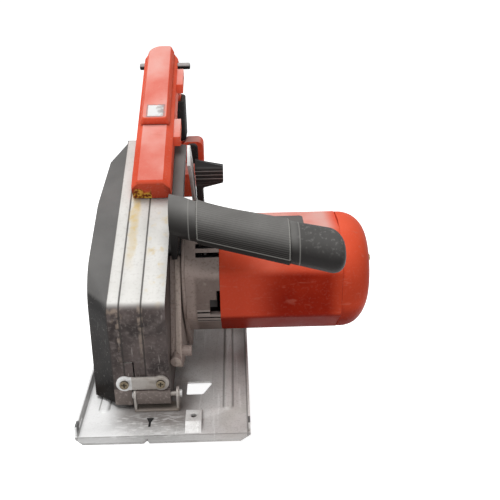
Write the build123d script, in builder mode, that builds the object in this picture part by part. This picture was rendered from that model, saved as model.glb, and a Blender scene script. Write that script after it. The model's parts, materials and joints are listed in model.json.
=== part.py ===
# A hand held metal cutting circular saw, set to its full depth of cut.
# X runs across the saw, with the motor on +X. Y runs back from the front. Z is up.
# The origin lies on the sole, on the shoe's centre line, straight under the depth pivot.
# All lengths are in millimetres.
import os
from math import cos, radians, sin, tan

from build123d import *

# Shoe, a tray pressed from sheet steel
shoe_width = 140.0
shoe_front = -44.0
shoe_behind = 30.0
sheet = 2.0
flange_height = 10.0
bend_radius = 3.0
lip_depth = 8.0
lip_rise = 1.0
lip_corner = 8.0
relief_gap = 2.0
bead_width = 8.0
bead_rise = 1.6
bead_from_edge = 18.0
fence_bar_width = 14.0
fence_bar_height = 3.6
fence_y = -19.0
bridge_width = 13.0
bridge_x = 24.0
bridge_run = 8.0
fence_screw_diameter = 5.0
window_width = 21.5
window_length = 18.5
window_x = 26.6
window_y = 26.0
sight_depth = 12.0
sight_width = 7.0
sight_press = 1.2

# Depth pivot at the front of the shoe, and the travel of the saw body about it
pivot_z = 16.0
pivot_pin_diameter = 4.0
pivot_lug_width = 28.0
pivot_lug_ahead = 3.5
pivot_lug_behind = 1.4
pivot_lug_low_z = 9.5
pivot_lug_high_z = 21.5
bracket_length = 12.0
bracket_gap = 4.8
pin_head = 2.5
pin_tail = 1.4
depth_travel = 30.0

# Blade and spindle
blade_diameter = 185.0
blade_thickness = 2.0
blade_teeth = 36
tooth_depth = 4.5
blade_x = -12.0
spindle_z = 29.0
spindle_diameter = 15.0
inner_flange_diameter = 45.0
inner_flange_width = 4.0
outer_flange_diameter = 40.0
outer_flange_width = 4.0
blade_bolt_diameter = 8.0
blade_bolt_head = 13.0
blade_bolt_head_height = 6.0

# Guards and chip chamber
tip_gap = 1.8
lower_guard_wall = 1.5
lower_guard_width = 15.0
lower_guard_lip = 11.0
lower_guard_start = -155.0
lower_guard_sweep = 180.0
guard_front_y = -1.0
rear_room = 20.2
swing_gap = 2.0
spring_wire = 1.6
cast_wall = 3.2
side_wall = 3.5
crease_z = 98.0
facet_angle = 22.8
ridge_back = 21.0
shoulder_z = 150.0
guard_floor_z = 6.0
crease_radius = 14.0
guard_corner_radius = 8.0
guard_left_x = -14.5
guard_right_x = 4.5
frame_left_x = -32.0
rim_left_x = -42.0
cover_left_x = -61.5
cover_wall = 2.5
cover_inset_front = 29.0
cover_inset_top = 1.0
cover_inset_rear = 11.0
cover_bend_y = 110.0
cover_bend_angle = 8.7
cover_front_radius = 45.0
cover_bend_radius = 60.0
cover_toe = 12.0
cover_floor_z = 4.5
tongue_x = -25.0
tongue_z = 48.0
tongue_gap = 1.2
strap_width = 11.5
strap_eye_width = 13.6
strap_thickness = 2.0
strap_z = 28.5
strap_left_x = -39.5
strap_right_x = 4.0
screw_diameter = 4.0
screw_head_diameter = 7.5
screw_head_height = 2.2
screw_cross = 4.6
screw_cross_width = 1.0
screw_cross_depth = 1.1

# Gears: a two stage train from the armature to the spindle
pinion_teeth = 11
wheel_teeth = 41
first_module = 1.0
layshaft_teeth = 16
output_teeth = 27
second_module = 1.25
gear_width = 6.5
layshaft_diameter = 8.0
gear_lean = 4.0

# Gear case and gear plate
gear_case_radius = 24.0
gear_case_top_radius = 41.0
gear_case_wall = 3.0
gear_case_right_x = 15.0
gear_plate_thickness = 3.0
case_rim_left_x = 9.0
case_rim_right_x = 13.5
case_rim_outset = 2.5
case_toe_y = 30.0
case_toe_z = 34.0
case_toe_radius = 8.0
toe_boss_radius = 4.5
toe_boss_length = 8.0
case_lug_y = 50.0
case_lug_z = 70.5
case_lug_size = 13.0
boss_radius = 27.0
boss_left_x = -6.5
large_bearing_diameter = 35.0
large_bearing_width = 9.0
bush_radius = 11.0

# Motor
motor_radius = 51.0
motor_wall = 3.0
barrel_corner = 12.0
armature_bearing_radius = 13.0
rear_bearing_radius = 11.0
fan_housing_right_x = 47.0
housing_right_x = 152.0
motor_right_x = 179.0
end_cap_radius = 25.0
motor_plate_x = 28.0
motor_plate_thickness = 4.0
armature_shaft_diameter = 10.0
armature_radius = 24.0
air_gap = 0.8
core_left_x = 58.0
core_length = 54.0
field_radius = 42.0
field_rib_width = 10.0
coil_length = 8.0
commutator_radius = 13.0
commutator_length = 15.0
commutator_x = 124.0
fan_radius = 44.0
fan_left_x = 34.0
fan_width = 10.0
fan_vanes = 11
brush_width = 6.5
brush_depth = 10.0
brush_length = 16.0
holder_wall = 1.5
vent_height = 3.0
vent_x = 27.0
vent_depth = 8.0
vent_rises = (32.2, 38.0)
groove_height = 1.3
groove_depth = 2.0
groove_drops = (16.0, 21.5, 26.8)
catch_height = 14.5
catch_drop = 17.5

# Front handle, swept forward across the motor
front_handle_start = (20.0, 53.0, 149.5)
front_handle_end = (144.0, -5.0, 144.0)
front_handle_radius = 15.0
front_handle_end_radius = 17.0
grip_start = 11.0
grip_end = 92.5
grip_skin = 1.4
handle_foot = 10.4
foot_ahead = 14.0
foot_behind = 28.0
foot_tail = 10.0
foot_round = 4.0
foot_sink = 4.8
handle_end_round = 12.0

# Main handle, a closed loop behind the guard
handle_mid_x = -12.75
handle_width = 34.5
handle_chamfer = 6.0
handle_ahead = 81.0
handle_front_height = 23.1
handle_slope = 25.2
crest_back = 24.0
handle_reach = 92.0
handle_bottom_z = 102.0
bar_depth = 28.0
grip_depth = 32.0
post_depth = 12.0
loop_floor_z = 132.0
loop_radius = 9.0
sleeve_skin = 4.5
sleeve_length = 44.0
sleeve_mouth = 20.0
panel_width = 23.0
panel_base = 28.5
panel_rise = 7.8
panel_back = 1.0
panel_corner = 3.0
panel_end_round = 13.0
panel_ahead = 20.0
crossbar_diameter = 7.0
crossbar_back = 32.0
crossbar_below_top = 11.0
crossbar_left_x = -35.5
crossbar_right_x = 17.5
trigger_width = 12.0
trigger_height = 22.0
trigger_reach = 11.0
trigger_stem = 8.0
trigger_travel = 6.0
trigger_z = 190.0
gland_diameter = 16.0
gland_bore = 9.0
gland_length = 26.0
switch_depth = 14.0
lug_length = 24.0
lug_height = 9.0
lug_reach = 6.5
front_lug_ahead = 14.0
rear_lug_back = 54.0
lug_drop = 12.0
screw_sink = 5.0
lobe_back = 38.0
lobe_depth = 24.0
lobe_right_x = 27.5
lobe_low_z = 120.0
lobe_high_z = 153.5
lobe_radius = 7.0
buffer_x = 15.8
buffer_z = 139.5
buffer_width = 12.0
buffer_length = 25.0
buffer_round = 5.0
buffer_height = 4.0

# Depth quadrant, bolt and lever
quadrant_inset = 6.0
quadrant_margin = 2.6
quadrant_width = 20.0
quadrant_thickness = 3.0
quadrant_x = 19.5
quadrant_foot = 14.0
bolt_angle = 19.0
bolt_diameter = 6.0
bolt_boss_diameter = 18.0
lever_hub_diameter = 20.0
lever_hub_width = 8.0
lever_arm_length = 74.0
lever_arm_width = 13.0
lever_arm_thickness = 6.5
lever_arm_angle = 112.0
knob_length = 27.0
knob_height = 19.0
knob_depth = 16.0
knob_ridges = 4
rivet_diameter = 5.0
nut_width = 10.0
nut_height = 5.0
lock_diameter = 7.0
lock_reach = 6.0
lock_rise = 9.0
lock_head = 3.0
lock_travel = 3.0
end_screw_circle = 26.0
end_screw_height = 1.2

# Clearances
running = 0.05
slip = 0.3
fit = 0.05

# Sizes that follow from the ones above
blade_radius = blade_diameter / 2
blade_left_x = blade_x - blade_thickness / 2
blade_right_x = blade_x + blade_thickness / 2
lower_guard_inner = blade_radius + tip_gap
lower_guard_outer = lower_guard_inner + lower_guard_wall
spindle_y = guard_front_y + cast_wall + swing_gap + lower_guard_outer
guard_rear_y = spindle_y + lower_guard_outer + rear_room
ridge_y = guard_rear_y - ridge_back
shoe_rear = guard_rear_y + shoe_behind
quadrant_radius = guard_rear_y - quadrant_inset
lug_front_y = guard_front_y - pivot_lug_ahead
lug_back_y = guard_front_y + cast_wall + pivot_lug_behind
facet_rise = tan(radians(facet_angle))
first_centres = first_module * (pinion_teeth + wheel_teeth) / 2
second_centres = second_module * (layshaft_teeth + output_teeth) / 2
gear_angle = 90.0 + gear_lean
layshaft_y = spindle_y + second_centres * cos(radians(gear_angle))
layshaft_z = spindle_z + second_centres * sin(radians(gear_angle))
motor_y = layshaft_y + first_centres * cos(radians(gear_angle))
motor_z = layshaft_z + first_centres * sin(radians(gear_angle))
plate_left_x = gear_case_right_x
plate_right_x = plate_left_x + gear_plate_thickness
bolt_y = quadrant_radius * cos(radians(bolt_angle))
bolt_z = pivot_z + quadrant_radius * sin(radians(bolt_angle))
inner_flange_right_x = blade_right_x + inner_flange_width
outer_flange_left_x = blade_left_x - outer_flange_width
handle_left_x = handle_mid_x - handle_width / 2
handle_right_x = handle_mid_x + handle_width / 2
handle_front_y = ridge_y - handle_ahead
handle_rear_y = guard_rear_y + handle_reach
handle_crest_y = handle_rear_y - crest_back
crossbar_y = handle_rear_y - crossbar_back
panel_front_y = ridge_y - panel_ahead
lobe_front_y = handle_rear_y - lobe_back
grip_front_y = handle_rear_y - grip_depth


def facet_z(y):
    """Height of the guard's sloping top facet above the point y."""
    return crease_z + (y - guard_front_y) * facet_rise


def bar_top_z(y):
    """Height of the main handle's upper face above the point y."""
    start = facet_z(handle_front_y) + handle_front_height
    return start + (y - handle_front_y) * tan(radians(handle_slope))


def yz(x):
    """A plane square to X, with local x along +Y and local y along +Z."""
    return Plane(origin=(x, 0, 0), x_dir=(0, 1, 0), z_dir=(1, 0, 0))


def xz(y):
    """A plane square to Y and facing back, with local x along -X and local y along +Z."""
    return Plane(origin=(0, y, 0), x_dir=(-1, 0, 0), z_dir=(0, 1, 0))


def rod(left_x, right_x, y, z, radius, mode=Mode.ADD):
    """A round bar along X between two planes."""
    with BuildSketch(yz(left_x)) as outline:
        with Locations((y, z)):
            Circle(radius)
    extrude(outline.sketch, amount=right_x - left_x, mode=mode)


def block(left_x, right_x, front_y, back_y, low_z, high_z, mode=Mode.ADD):
    """A square bar between three pairs of planes."""
    with BuildSketch(yz(left_x)) as outline:
        with Locations(((front_y + back_y) / 2, (low_z + high_z) / 2)):
            Rectangle(back_y - front_y, high_z - low_z)
    extrude(outline.sketch, amount=right_x - left_x, mode=mode)


def polygon(points):
    """A face with straight sides in the current sketch."""
    with BuildLine() as outline:
        Polyline(*points, close=True)
    make_face(outline.edges())


def rounded(points, radii):
    """A face with straight sides and rounded corners in the current sketch."""
    with BuildLine() as outline:
        FilletPolyline(*points, radius=radii, close=True)
    make_face(outline.edges())


def ring_points(radii, angles, y, z):
    """Points about an axis along X, one for each pair of radius and angle in degrees."""
    return [(y + r * cos(radians(a)), z + r * sin(radians(a))) for r, a in zip(radii, angles)]


def gear_points(teeth, module, y, z, turn):
    """A spur gear outline with some backlash, with one tooth at the angle turn."""
    pitch_radius = module * teeth / 2
    root, tip = pitch_radius - 1.05 * module, pitch_radius + 0.7 * module
    step = 360.0 / teeth
    points = []
    for k in range(teeth):
        middle = turn + k * step
        angles = [middle - 0.27 * step, middle - 0.12 * step, middle + 0.12 * step, middle + 0.27 * step]
        points += ring_points([root, tip, tip, root], angles, y, z)
    return points


def hull_face(low_radius, high_radius, toe_radius=0):
    """The gear case outline: circles at the spindle, the motor and, if it has a radius, the toe."""
    for y, z, radius in ((spindle_y, spindle_z, low_radius), (motor_y, motor_z, high_radius),
                         (case_toe_y, case_toe_z, toe_radius)):
        if radius:
            with Locations((y, z)):
                Circle(radius)
    make_hull()


# Shoe: bottom plate, side flanges, lips, beads, fence bridge and openings
bead_x = shoe_width / 2 - bead_from_edge
lip_bend_y = shoe_front + lip_depth
flange_front_y = lip_bend_y + relief_gap
slot_left_x = blade_x - lower_guard_width / 2 - 5.5
slot_right_x = guard_right_x - 2.5
slot_front_y = lug_back_y + 2.9
slot_rear_y = spindle_y + lower_guard_outer
bridge_top_z = sheet + fence_bar_height + sheet
with BuildPart() as shoe:
    with BuildSketch(xz(flange_front_y)) as tray:
        with Locations((0, flange_height / 2)):
            Rectangle(shoe_width, flange_height)
        fillet(tray.vertices().group_by(Axis.Y)[0], radius=bend_radius)
        with Locations((0, sheet + flange_height / 2)):
            Rectangle(shoe_width - 2 * sheet, flange_height, mode=Mode.SUBTRACT)
    extrude(amount=shoe_rear - flange_front_y)
    for end_y, way in ((flange_front_y, -1), (shoe_rear, 1)):
        reach = lip_depth + relief_gap if way < 0 else lip_depth
        with BuildSketch(yz(-shoe_width / 2)):
            polygon([(end_y - way, 0), (end_y, 0), (end_y + way * reach, lip_rise),
                     (end_y + way * reach, lip_rise + sheet), (end_y, sheet), (end_y - way, sheet)])
        extrude(amount=shoe_width)
        corners = shoe.edges().filter_by(Axis.Z).group_by(Axis.Y)[0 if way < 0 else -1]
        chamfer(corners, length=lip_corner)
    for x in (-bead_x, bead_x):
        with BuildSketch(Plane.XY.offset(sheet)):
            with Locations((x, (slot_front_y + slot_rear_y) / 2)):
                SlotOverall(slot_rear_y - slot_front_y + 24.0, bead_width, rotation=90)
        extrude(amount=bead_rise, taper=40)
    with BuildSketch(yz(bridge_x - bridge_width / 2)):
        half = fence_bar_width / 2
        polygon([(fence_y - half - bridge_run, sheet), (fence_y - half, bridge_top_z),
                 (fence_y + half, bridge_top_z), (fence_y + half + bridge_run, sheet),
                 (fence_y + half + bridge_run - sheet, sheet), (fence_y + half - 0.5, bridge_top_z - sheet),
                 (fence_y - half + 0.5, bridge_top_z - sheet), (fence_y - half - bridge_run + sheet, sheet)])
    extrude(amount=bridge_width)
    for x in (-shoe_width / 2, shoe_width / 2):
        block(x - 2 * sheet, x + 2 * sheet, fence_y - fence_bar_width / 2, fence_y + fence_bar_width / 2,
              sheet, sheet + fence_bar_height, mode=Mode.SUBTRACT)
    with BuildSketch(Plane.XY.offset(-sheet)):
        with Locations(((slot_left_x + slot_right_x) / 2, (slot_front_y + slot_rear_y) / 2)):
            RectangleRounded(slot_right_x - slot_left_x, slot_rear_y - slot_front_y, 4.0)
        with Locations((bridge_x, fence_y)):
            Circle(fence_screw_diameter / 2)
        left, right = window_x - window_width / 2, window_x + window_width / 2
        near, far = window_y - window_length / 2, window_y + window_length / 2
        rounded([(left, near), (right - window_width / 3, near), (right, far - 4.0), (right, far),
                 (left, far)], 1.5)
        polygon([(blade_x - 3.0, shoe_front - 1.0), (blade_x + 3.0, shoe_front - 1.0),
                 (blade_x, shoe_front + 4.0)])
    extrude(amount=3 * flange_height, mode=Mode.SUBTRACT)
    with BuildSketch(Plane.XY.offset(sheet - sight_press)):
        sight_back_y, sight_front_y = fence_y + sight_depth / 2, fence_y - sight_depth / 2
        polygon([(blade_x - sight_width / 2, sight_back_y), (blade_x + sight_width / 2, sight_back_y),
                 (blade_x + 1.0, fence_y), (blade_x + 1.0, sight_front_y),
                 (blade_x - 1.0, sight_front_y), (blade_x - 1.0, fence_y)])
    extrude(amount=sheet, mode=Mode.SUBTRACT)

# Pivot bracket: a bent steel cradle standing on the shoe around the guard's lug
lug_right_x = guard_right_x
lug_left_x = lug_right_x - pivot_lug_width
cradle_left_x = lug_left_x - slip - sheet
cradle_right_x = lug_right_x + bracket_gap + sheet
half_bracket = bracket_length / 2
with BuildPart() as pivot_bracket:
    block(cradle_left_x, cradle_right_x, -half_bracket, half_bracket, sheet, 2 * sheet)
    for left_x in (cradle_left_x, cradle_right_x - sheet):
        block(left_x, left_x + sheet, -half_bracket, half_bracket, sheet, pivot_z)
        rod(left_x, left_x + sheet, 0, pivot_z, half_bracket)
    rod(cradle_left_x - 1.0, cradle_right_x + 1.0, 0, pivot_z, pivot_pin_diameter / 2 + fit,
        mode=Mode.SUBTRACT)

# Pivot pin, a headed rivet that stays with the bracket
with BuildPart() as pivot_pin:
    rod(cradle_left_x, cradle_right_x, 0, pivot_z, pivot_pin_diameter / 2)
    rod(cradle_right_x, cradle_right_x + pin_head, 0, pivot_z, pivot_pin_diameter * 0.8)
    rod(cradle_left_x - pin_tail, cradle_left_x, 0, pivot_z, pivot_pin_diameter * 0.8)

# Outline that the guard castings share, from the front foot over the ridge to the rear foot
guard_points = [(guard_front_y, guard_floor_z), (guard_front_y, crease_z), (ridge_y, facet_z(ridge_y)),
                (guard_rear_y, shoulder_z), (guard_rear_y, 2 * spindle_z),
                (guard_rear_y - 14.0, guard_floor_z)]
guard_radii = [1.0, crease_radius, guard_corner_radius, guard_corner_radius, guard_corner_radius, 1.0]


def guard_band(left_x, right_x, open_left_x, open_right_x):
    """A hollow band of the guard between two planes, with its floor open between two others."""
    with BuildSketch(yz(left_x)) as band:
        rounded(guard_points, guard_radii)
        offset(amount=-cast_wall, mode=Mode.SUBTRACT)
    extrude(band.sketch, amount=right_x - left_x)
    if open_right_x > open_left_x:
        block(open_left_x, open_right_x, guard_front_y + cast_wall, slot_rear_y, 0,
              2 * cast_wall + guard_floor_z,
              mode=Mode.SUBTRACT)


def pivot_notch():
    """Room in the front of a guard band for the pivot lug and the bracket's left leg."""
    leg_room = half_bracket + 2 * slip
    leg_left_x = cradle_left_x - pin_tail - slip
    block(lug_left_x - slip, guard_left_x, lug_front_y, lug_back_y + slip, 0, pivot_lug_high_z + slip,
          mode=Mode.SUBTRACT)
    block(leg_left_x, lug_left_x + slip, -leg_room, leg_room, 0, pivot_z, mode=Mode.SUBTRACT)
    rod(leg_left_x, lug_left_x + slip, 0, pivot_z, leg_room, mode=Mode.SUBTRACT)


# Upper guard: the aluminium casting round the blade, with the pivot lug and the depth bolt boss
wall_left_x = guard_right_x - side_wall
bolt_boss_right_x = quadrant_x - slip
with BuildPart() as upper_guard:
    guard_band(guard_left_x, wall_left_x, guard_left_x, wall_left_x)
    with BuildSketch(yz(wall_left_x)):
        rounded(guard_points, guard_radii)
    extrude(amount=side_wall)
    block(lug_left_x, lug_right_x, lug_front_y, lug_back_y, pivot_lug_low_z, pivot_lug_high_z)
    rod(lug_left_x - 1.0, lug_right_x + 1.0, 0, pivot_z, pivot_pin_diameter / 2 + running, mode=Mode.SUBTRACT)
    rod(wall_left_x - 1.0, guard_right_x + 1.0, spindle_y, spindle_z, boss_radius + fit, mode=Mode.SUBTRACT)
    rod(guard_right_x, bolt_boss_right_x, bolt_y, bolt_z, bolt_boss_diameter / 2)
    rod(wall_left_x - 1.0, bolt_boss_right_x + 1.0, bolt_y, bolt_z, bolt_diameter / 2 + fit,
        mode=Mode.SUBTRACT)

# Chip chamber frame: the middle aluminium band, notched at the front for the rim's tongue
with BuildPart() as chamber_frame:
    guard_band(frame_left_x, guard_left_x, blade_x - lower_guard_width, guard_left_x)
    block(frame_left_x, tongue_x + tongue_gap, guard_front_y - 1.0, guard_front_y + cast_wall + 1.0, 0,
          tongue_z + tongue_gap / 2, mode=Mode.SUBTRACT)
    pivot_notch()

# Chip chamber rim: the outer aluminium band that carries the cover
with BuildPart() as chamber_rim:
    guard_band(rim_left_x, frame_left_x, 0, 0)
    block(frame_left_x, tongue_x, guard_front_y, guard_front_y + cast_wall, guard_floor_z, tongue_z)
    pivot_notch()

# Chip cover: a hollow tapered lid of dark plastic on the left side
base_inset = 1.5
cover_front_y = guard_front_y + cover_inset_front
cover_rear_y = guard_rear_y - cover_inset_rear
cover_bend_z = facet_z(cover_bend_y) - cover_inset_top
cover_ridge_y = ridge_y + 3.0
cover_points = [(cover_front_y - cover_toe, cover_floor_z),
                (cover_front_y, facet_z(cover_front_y) - cover_inset_top),
                (cover_bend_y, cover_bend_z),
                (cover_ridge_y, cover_bend_z + (cover_ridge_y - cover_bend_y) * tan(radians(cover_bend_angle))),
                (cover_rear_y, shoulder_z - cover_inset_rear), (cover_rear_y, 2 * spindle_z),
                (cover_rear_y - 15.0, guard_floor_z + 4.0)]
base_points = [(guard_front_y + base_inset, guard_floor_z + 1.0),
               (guard_front_y + base_inset, crease_z - 1.0),
               (cover_bend_y, facet_z(cover_bend_y) - 0.8), (ridge_y - 0.8, facet_z(ridge_y) - 2.2),
               (guard_rear_y - base_inset, shoulder_z - 0.5), (guard_rear_y - base_inset, 2 * spindle_z),
               (guard_rear_y - 15.3, guard_floor_z + 1.0)]
corner = guard_corner_radius
base_radii = [1.0, crease_radius, 5 * cover_bend_radius, corner, corner, corner, 1.0]
cover_radii = [1.0, cover_front_radius, cover_bend_radius, corner, corner, corner, 1.0]
with BuildPart() as chip_cover:
    with BuildSketch(yz(rim_left_x)):
        rounded(base_points, base_radii)
    with BuildSketch(yz(cover_left_x)):
        rounded(cover_points, cover_radii)
    loft()
    with BuildSketch(yz(rim_left_x)):
        rounded(base_points, base_radii)
        offset(amount=-cover_wall)
    with BuildSketch(yz(cover_left_x + cover_wall)):
        rounded(cover_points, cover_radii)
        offset(amount=-cover_wall)
    loft(mode=Mode.SUBTRACT)

# Strap across the guard's front, tying the rim to the casting
strap_screws_x = (strap_left_x + strap_eye_width / 2, strap_right_x - strap_eye_width / 2)
with BuildPart() as guard_strap:
    with BuildSketch(xz(guard_front_y - strap_thickness)):
        with Locations((-(strap_left_x + strap_right_x) / 2, strap_z)):
            SlotOverall(strap_right_x - strap_left_x, strap_width)
        with Locations(*[(-x, strap_z) for x in strap_screws_x]):
            Circle(strap_eye_width / 2)
            Circle(screw_diameter / 2 + fit, mode=Mode.SUBTRACT)
    extrude(amount=strap_thickness)


def screw_along_y(x, z, head_y):
    """A pan head screw with a cross recess, driven backwards from the front."""
    with BuildSketch(xz(head_y - screw_head_height)) as head:
        with Locations((-x, z)):
            Circle(screw_head_diameter / 2)
    extrude(head.sketch, amount=screw_head_height)
    with BuildSketch(xz(head_y)) as shank:
        with Locations((-x, z)):
            Circle(screw_diameter / 2)
    extrude(shank.sketch, amount=strap_thickness)
    with BuildSketch(xz(head_y - screw_head_height)) as cross:
        with Locations((-x, z)):
            Rectangle(screw_cross, screw_cross_width)
            Rectangle(screw_cross_width, screw_cross)
    extrude(cross.sketch, amount=screw_cross_depth, mode=Mode.SUBTRACT)


with BuildPart() as strap_screws:
    for screw_x in strap_screws_x:
        screw_along_y(screw_x, strap_z, guard_front_y - strap_thickness)

# Lower guard: a rim with a web that turns on the gear case boss, and a narrow left lip
lower_left_x = blade_x - lower_guard_width / 2 - 0.5
lower_right_x = lower_left_x + lower_guard_width
lower_guard_end = lower_guard_start + lower_guard_sweep
with BuildPart() as lower_guard:
    with BuildSketch(yz(lower_left_x)):
        with Locations((spindle_y, spindle_z)):
            Circle(lower_guard_outer)
            Circle(lower_guard_inner, mode=Mode.SUBTRACT)
    extrude(amount=lower_guard_width)
    with BuildSketch(yz(lower_left_x)):
        with Locations((spindle_y, spindle_z)):
            Circle(lower_guard_outer)
            Circle(lower_guard_outer - lower_guard_lip, mode=Mode.SUBTRACT)
    extrude(amount=lower_guard_wall)
    rod(lower_right_x - lower_guard_wall, lower_right_x, spindle_y, spindle_z, lower_guard_outer)
    far = 2 * lower_guard_outer
    with BuildSketch(yz(lower_left_x - 1.0)):
        polygon([(spindle_y, spindle_z)] + ring_points(
            [far] * 4, [lower_guard_end, lower_guard_end + 60, lower_guard_start - 60 + 360,
                        lower_guard_start + 360],
            spindle_y, spindle_z))
    extrude(amount=lower_guard_width + 2.0, mode=Mode.SUBTRACT)
    rod(lower_right_x - lower_guard_wall, lower_right_x, spindle_y, spindle_z, boss_radius + 7.0)
    rod(lower_right_x - lower_guard_wall - 1.0, lower_right_x + 1.0, spindle_y, spindle_z,
        boss_radius + running,
        mode=Mode.SUBTRACT)

# Return spring of the lower guard: one closed coil round the gear case boss
spring_radius = boss_radius + spring_wire
spring_x = lower_right_x + spring_wire
spindle_axis = Axis((0, spindle_y, spindle_z), (1, 0, 0))
with BuildPart() as guard_spring:
    with BuildSketch(Plane.XY.offset(spindle_z)):
        with Locations((spring_x, spindle_y + spring_radius)):
            Circle(spring_wire / 2)
    revolve(axis=spindle_axis)

# Blade: a toothed steel disc with a round bore
bore_radius = spindle_diameter / 2 + fit
tooth_step = 360.0 / blade_teeth
with BuildPart() as blade:
    with BuildSketch(yz(blade_left_x)):
        teeth = []
        for k in range(blade_teeth):
            start = k * tooth_step
            radii = [blade_radius - tooth_depth, blade_radius - tooth_depth, blade_radius, blade_radius - 1.2]
            angles = [start - 0.30 * tooth_step, start - 0.06 * tooth_step, start, start + 0.32 * tooth_step]
            teeth += ring_points(radii, angles, spindle_y, spindle_z)
        polygon(teeth)
        with Locations((spindle_y, spindle_z)):
            Circle(bore_radius, mode=Mode.SUBTRACT)
    extrude(amount=blade_thickness)

# Blade flanges, spindle and blade bolt
spindle_left_x = blade_left_x - 1.0
spindle_right_x = plate_right_x
with BuildPart() as inner_flange:
    rod(blade_right_x, inner_flange_right_x, spindle_y, spindle_z, inner_flange_diameter / 2)
    rod(blade_right_x - 1.0, inner_flange_right_x + 1.0, spindle_y, spindle_z, bore_radius,
        mode=Mode.SUBTRACT)
    chamfer(inner_flange.edges().filter_by(GeomType.CIRCLE).sort_by(SortBy.RADIUS)[-2:], length=0.8)

with BuildPart() as outer_flange:
    rod(outer_flange_left_x, blade_left_x, spindle_y, spindle_z, outer_flange_diameter / 2)
    rod(outer_flange_left_x + outer_flange_width / 2, blade_left_x + 1.0, spindle_y, spindle_z, bore_radius,
        mode=Mode.SUBTRACT)
    rod(outer_flange_left_x - 1.0, blade_left_x, spindle_y, spindle_z, blade_bolt_diameter / 2 + fit,
        mode=Mode.SUBTRACT)
    chamfer(outer_flange.edges().filter_by(GeomType.CIRCLE).sort_by(SortBy.RADIUS)[-2:], length=0.8)

with BuildPart() as spindle:
    rod(spindle_left_x, spindle_right_x, spindle_y, spindle_z, spindle_diameter / 2)
    rod(spindle_left_x - 1.0, spindle_left_x + 16.0, spindle_y, spindle_z, blade_bolt_diameter / 2 + fit,
        mode=Mode.SUBTRACT)

with BuildPart() as blade_bolt:
    with BuildSketch(yz(outer_flange_left_x - blade_bolt_head_height)):
        with Locations((spindle_y, spindle_z)):
            RegularPolygon(blade_bolt_head / 2, 6, major_radius=False)
    extrude(amount=blade_bolt_head_height)
    rod(outer_flange_left_x, spindle_left_x + 14.0, spindle_y, spindle_z, blade_bolt_diameter / 2)

# Gear train: output gear on the spindle, layshaft with two gears, pinion on the armature
stage_gap = 0.8
output_left_x = guard_right_x + gear_case_wall
wheel_left_x = plate_right_x + stage_gap
wheel_right_x = wheel_left_x + gear_width
plate_bore = layshaft_diameter / 2 + 3.0
with BuildPart() as output_gear:
    with BuildSketch(yz(output_left_x)):
        polygon(gear_points(output_teeth, second_module, spindle_y, spindle_z, gear_angle))
        with Locations((spindle_y, spindle_z)):
            Circle(bore_radius, mode=Mode.SUBTRACT)
    extrude(amount=gear_width)

with BuildPart() as layshaft:
    rod(output_left_x, motor_plate_x + motor_plate_thickness, layshaft_y, layshaft_z, layshaft_diameter / 2)
    with BuildSketch(yz(output_left_x)):
        half_step = 180 / layshaft_teeth
        polygon(gear_points(layshaft_teeth, second_module, layshaft_y, layshaft_z,
                            gear_angle + 180 + half_step))
    extrude(amount=gear_width)
    with BuildSketch(yz(wheel_left_x)):
        polygon(gear_points(wheel_teeth, first_module, layshaft_y, layshaft_z, gear_angle))
    extrude(amount=gear_width)

# Gear case: the round hub that the lower guard turns on, a cup round the gears and a rimmed toe in front
large_bearing_radius = large_bearing_diameter / 2
large_bearing_left_x = boss_left_x + 1.0
lock_x = (guard_right_x + case_rim_right_x) / 2
lock_z = spindle_z + lock_rise
lock_front_y = case_toe_y - case_toe_radius
lock_tip_y = spindle_y - gear_case_radius + gear_case_wall
with BuildPart() as gear_case:
    with BuildSketch(yz(guard_right_x)):
        hull_face(gear_case_radius, gear_case_top_radius, case_toe_radius)
    extrude(amount=case_rim_right_x - guard_right_x)
    with BuildSketch(yz(case_rim_left_x)):
        hull_face(gear_case_radius + case_rim_outset, gear_case_top_radius + case_rim_outset,
                  case_toe_radius + case_rim_outset)
    extrude(amount=case_rim_right_x - case_rim_left_x)
    with BuildSketch(yz(guard_right_x)):
        hull_face(gear_case_radius, gear_case_top_radius)
    extrude(amount=gear_case_right_x - guard_right_x)
    rod(case_rim_right_x, case_rim_right_x + toe_boss_length, case_toe_y, case_toe_z + toe_boss_radius,
        toe_boss_radius)
    half_lug = case_lug_size / 2
    block(guard_right_x, case_rim_left_x, case_lug_y - half_lug, case_lug_y + half_lug, case_lug_z - half_lug,
          case_lug_z + half_lug)
    with BuildSketch(yz(guard_right_x + gear_case_wall - 0.5)):
        hull_face(gear_case_radius - gear_case_wall, gear_case_top_radius - gear_case_wall)
    extrude(amount=gear_case_right_x, mode=Mode.SUBTRACT)
    rod(boss_left_x, guard_right_x, spindle_y, spindle_z, boss_radius)
    rod(boss_left_x - 1.0, large_bearing_left_x + large_bearing_width, spindle_y, spindle_z,
        large_bearing_radius,
        mode=Mode.SUBTRACT)
    rod(boss_left_x - 1.0, gear_case_right_x, spindle_y, spindle_z, spindle_diameter / 2 + 1.0,
        mode=Mode.SUBTRACT)
    with BuildSketch(xz(lock_front_y - case_toe_radius)):
        with Locations((-lock_x, lock_z)):
            Circle(lock_diameter / 2 + running)
    extrude(amount=lock_tip_y + lock_travel + slip - lock_front_y + case_toe_radius, mode=Mode.SUBTRACT)

# Gear plate: the thin plate between gear case and fan housing, with bushes for spindle and layshaft
with BuildPart() as gear_plate:
    with BuildSketch(yz(plate_left_x)):
        hull_face(gear_case_radius + 1.0, motor_radius)
    extrude(amount=gear_plate_thickness)
    rod(plate_left_x - 1.0, plate_right_x + 1.0, spindle_y, spindle_z, bush_radius, mode=Mode.SUBTRACT)
    rod(plate_left_x - 1.0, plate_right_x + 1.0, layshaft_y, layshaft_z, plate_bore, mode=Mode.SUBTRACT)


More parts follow.
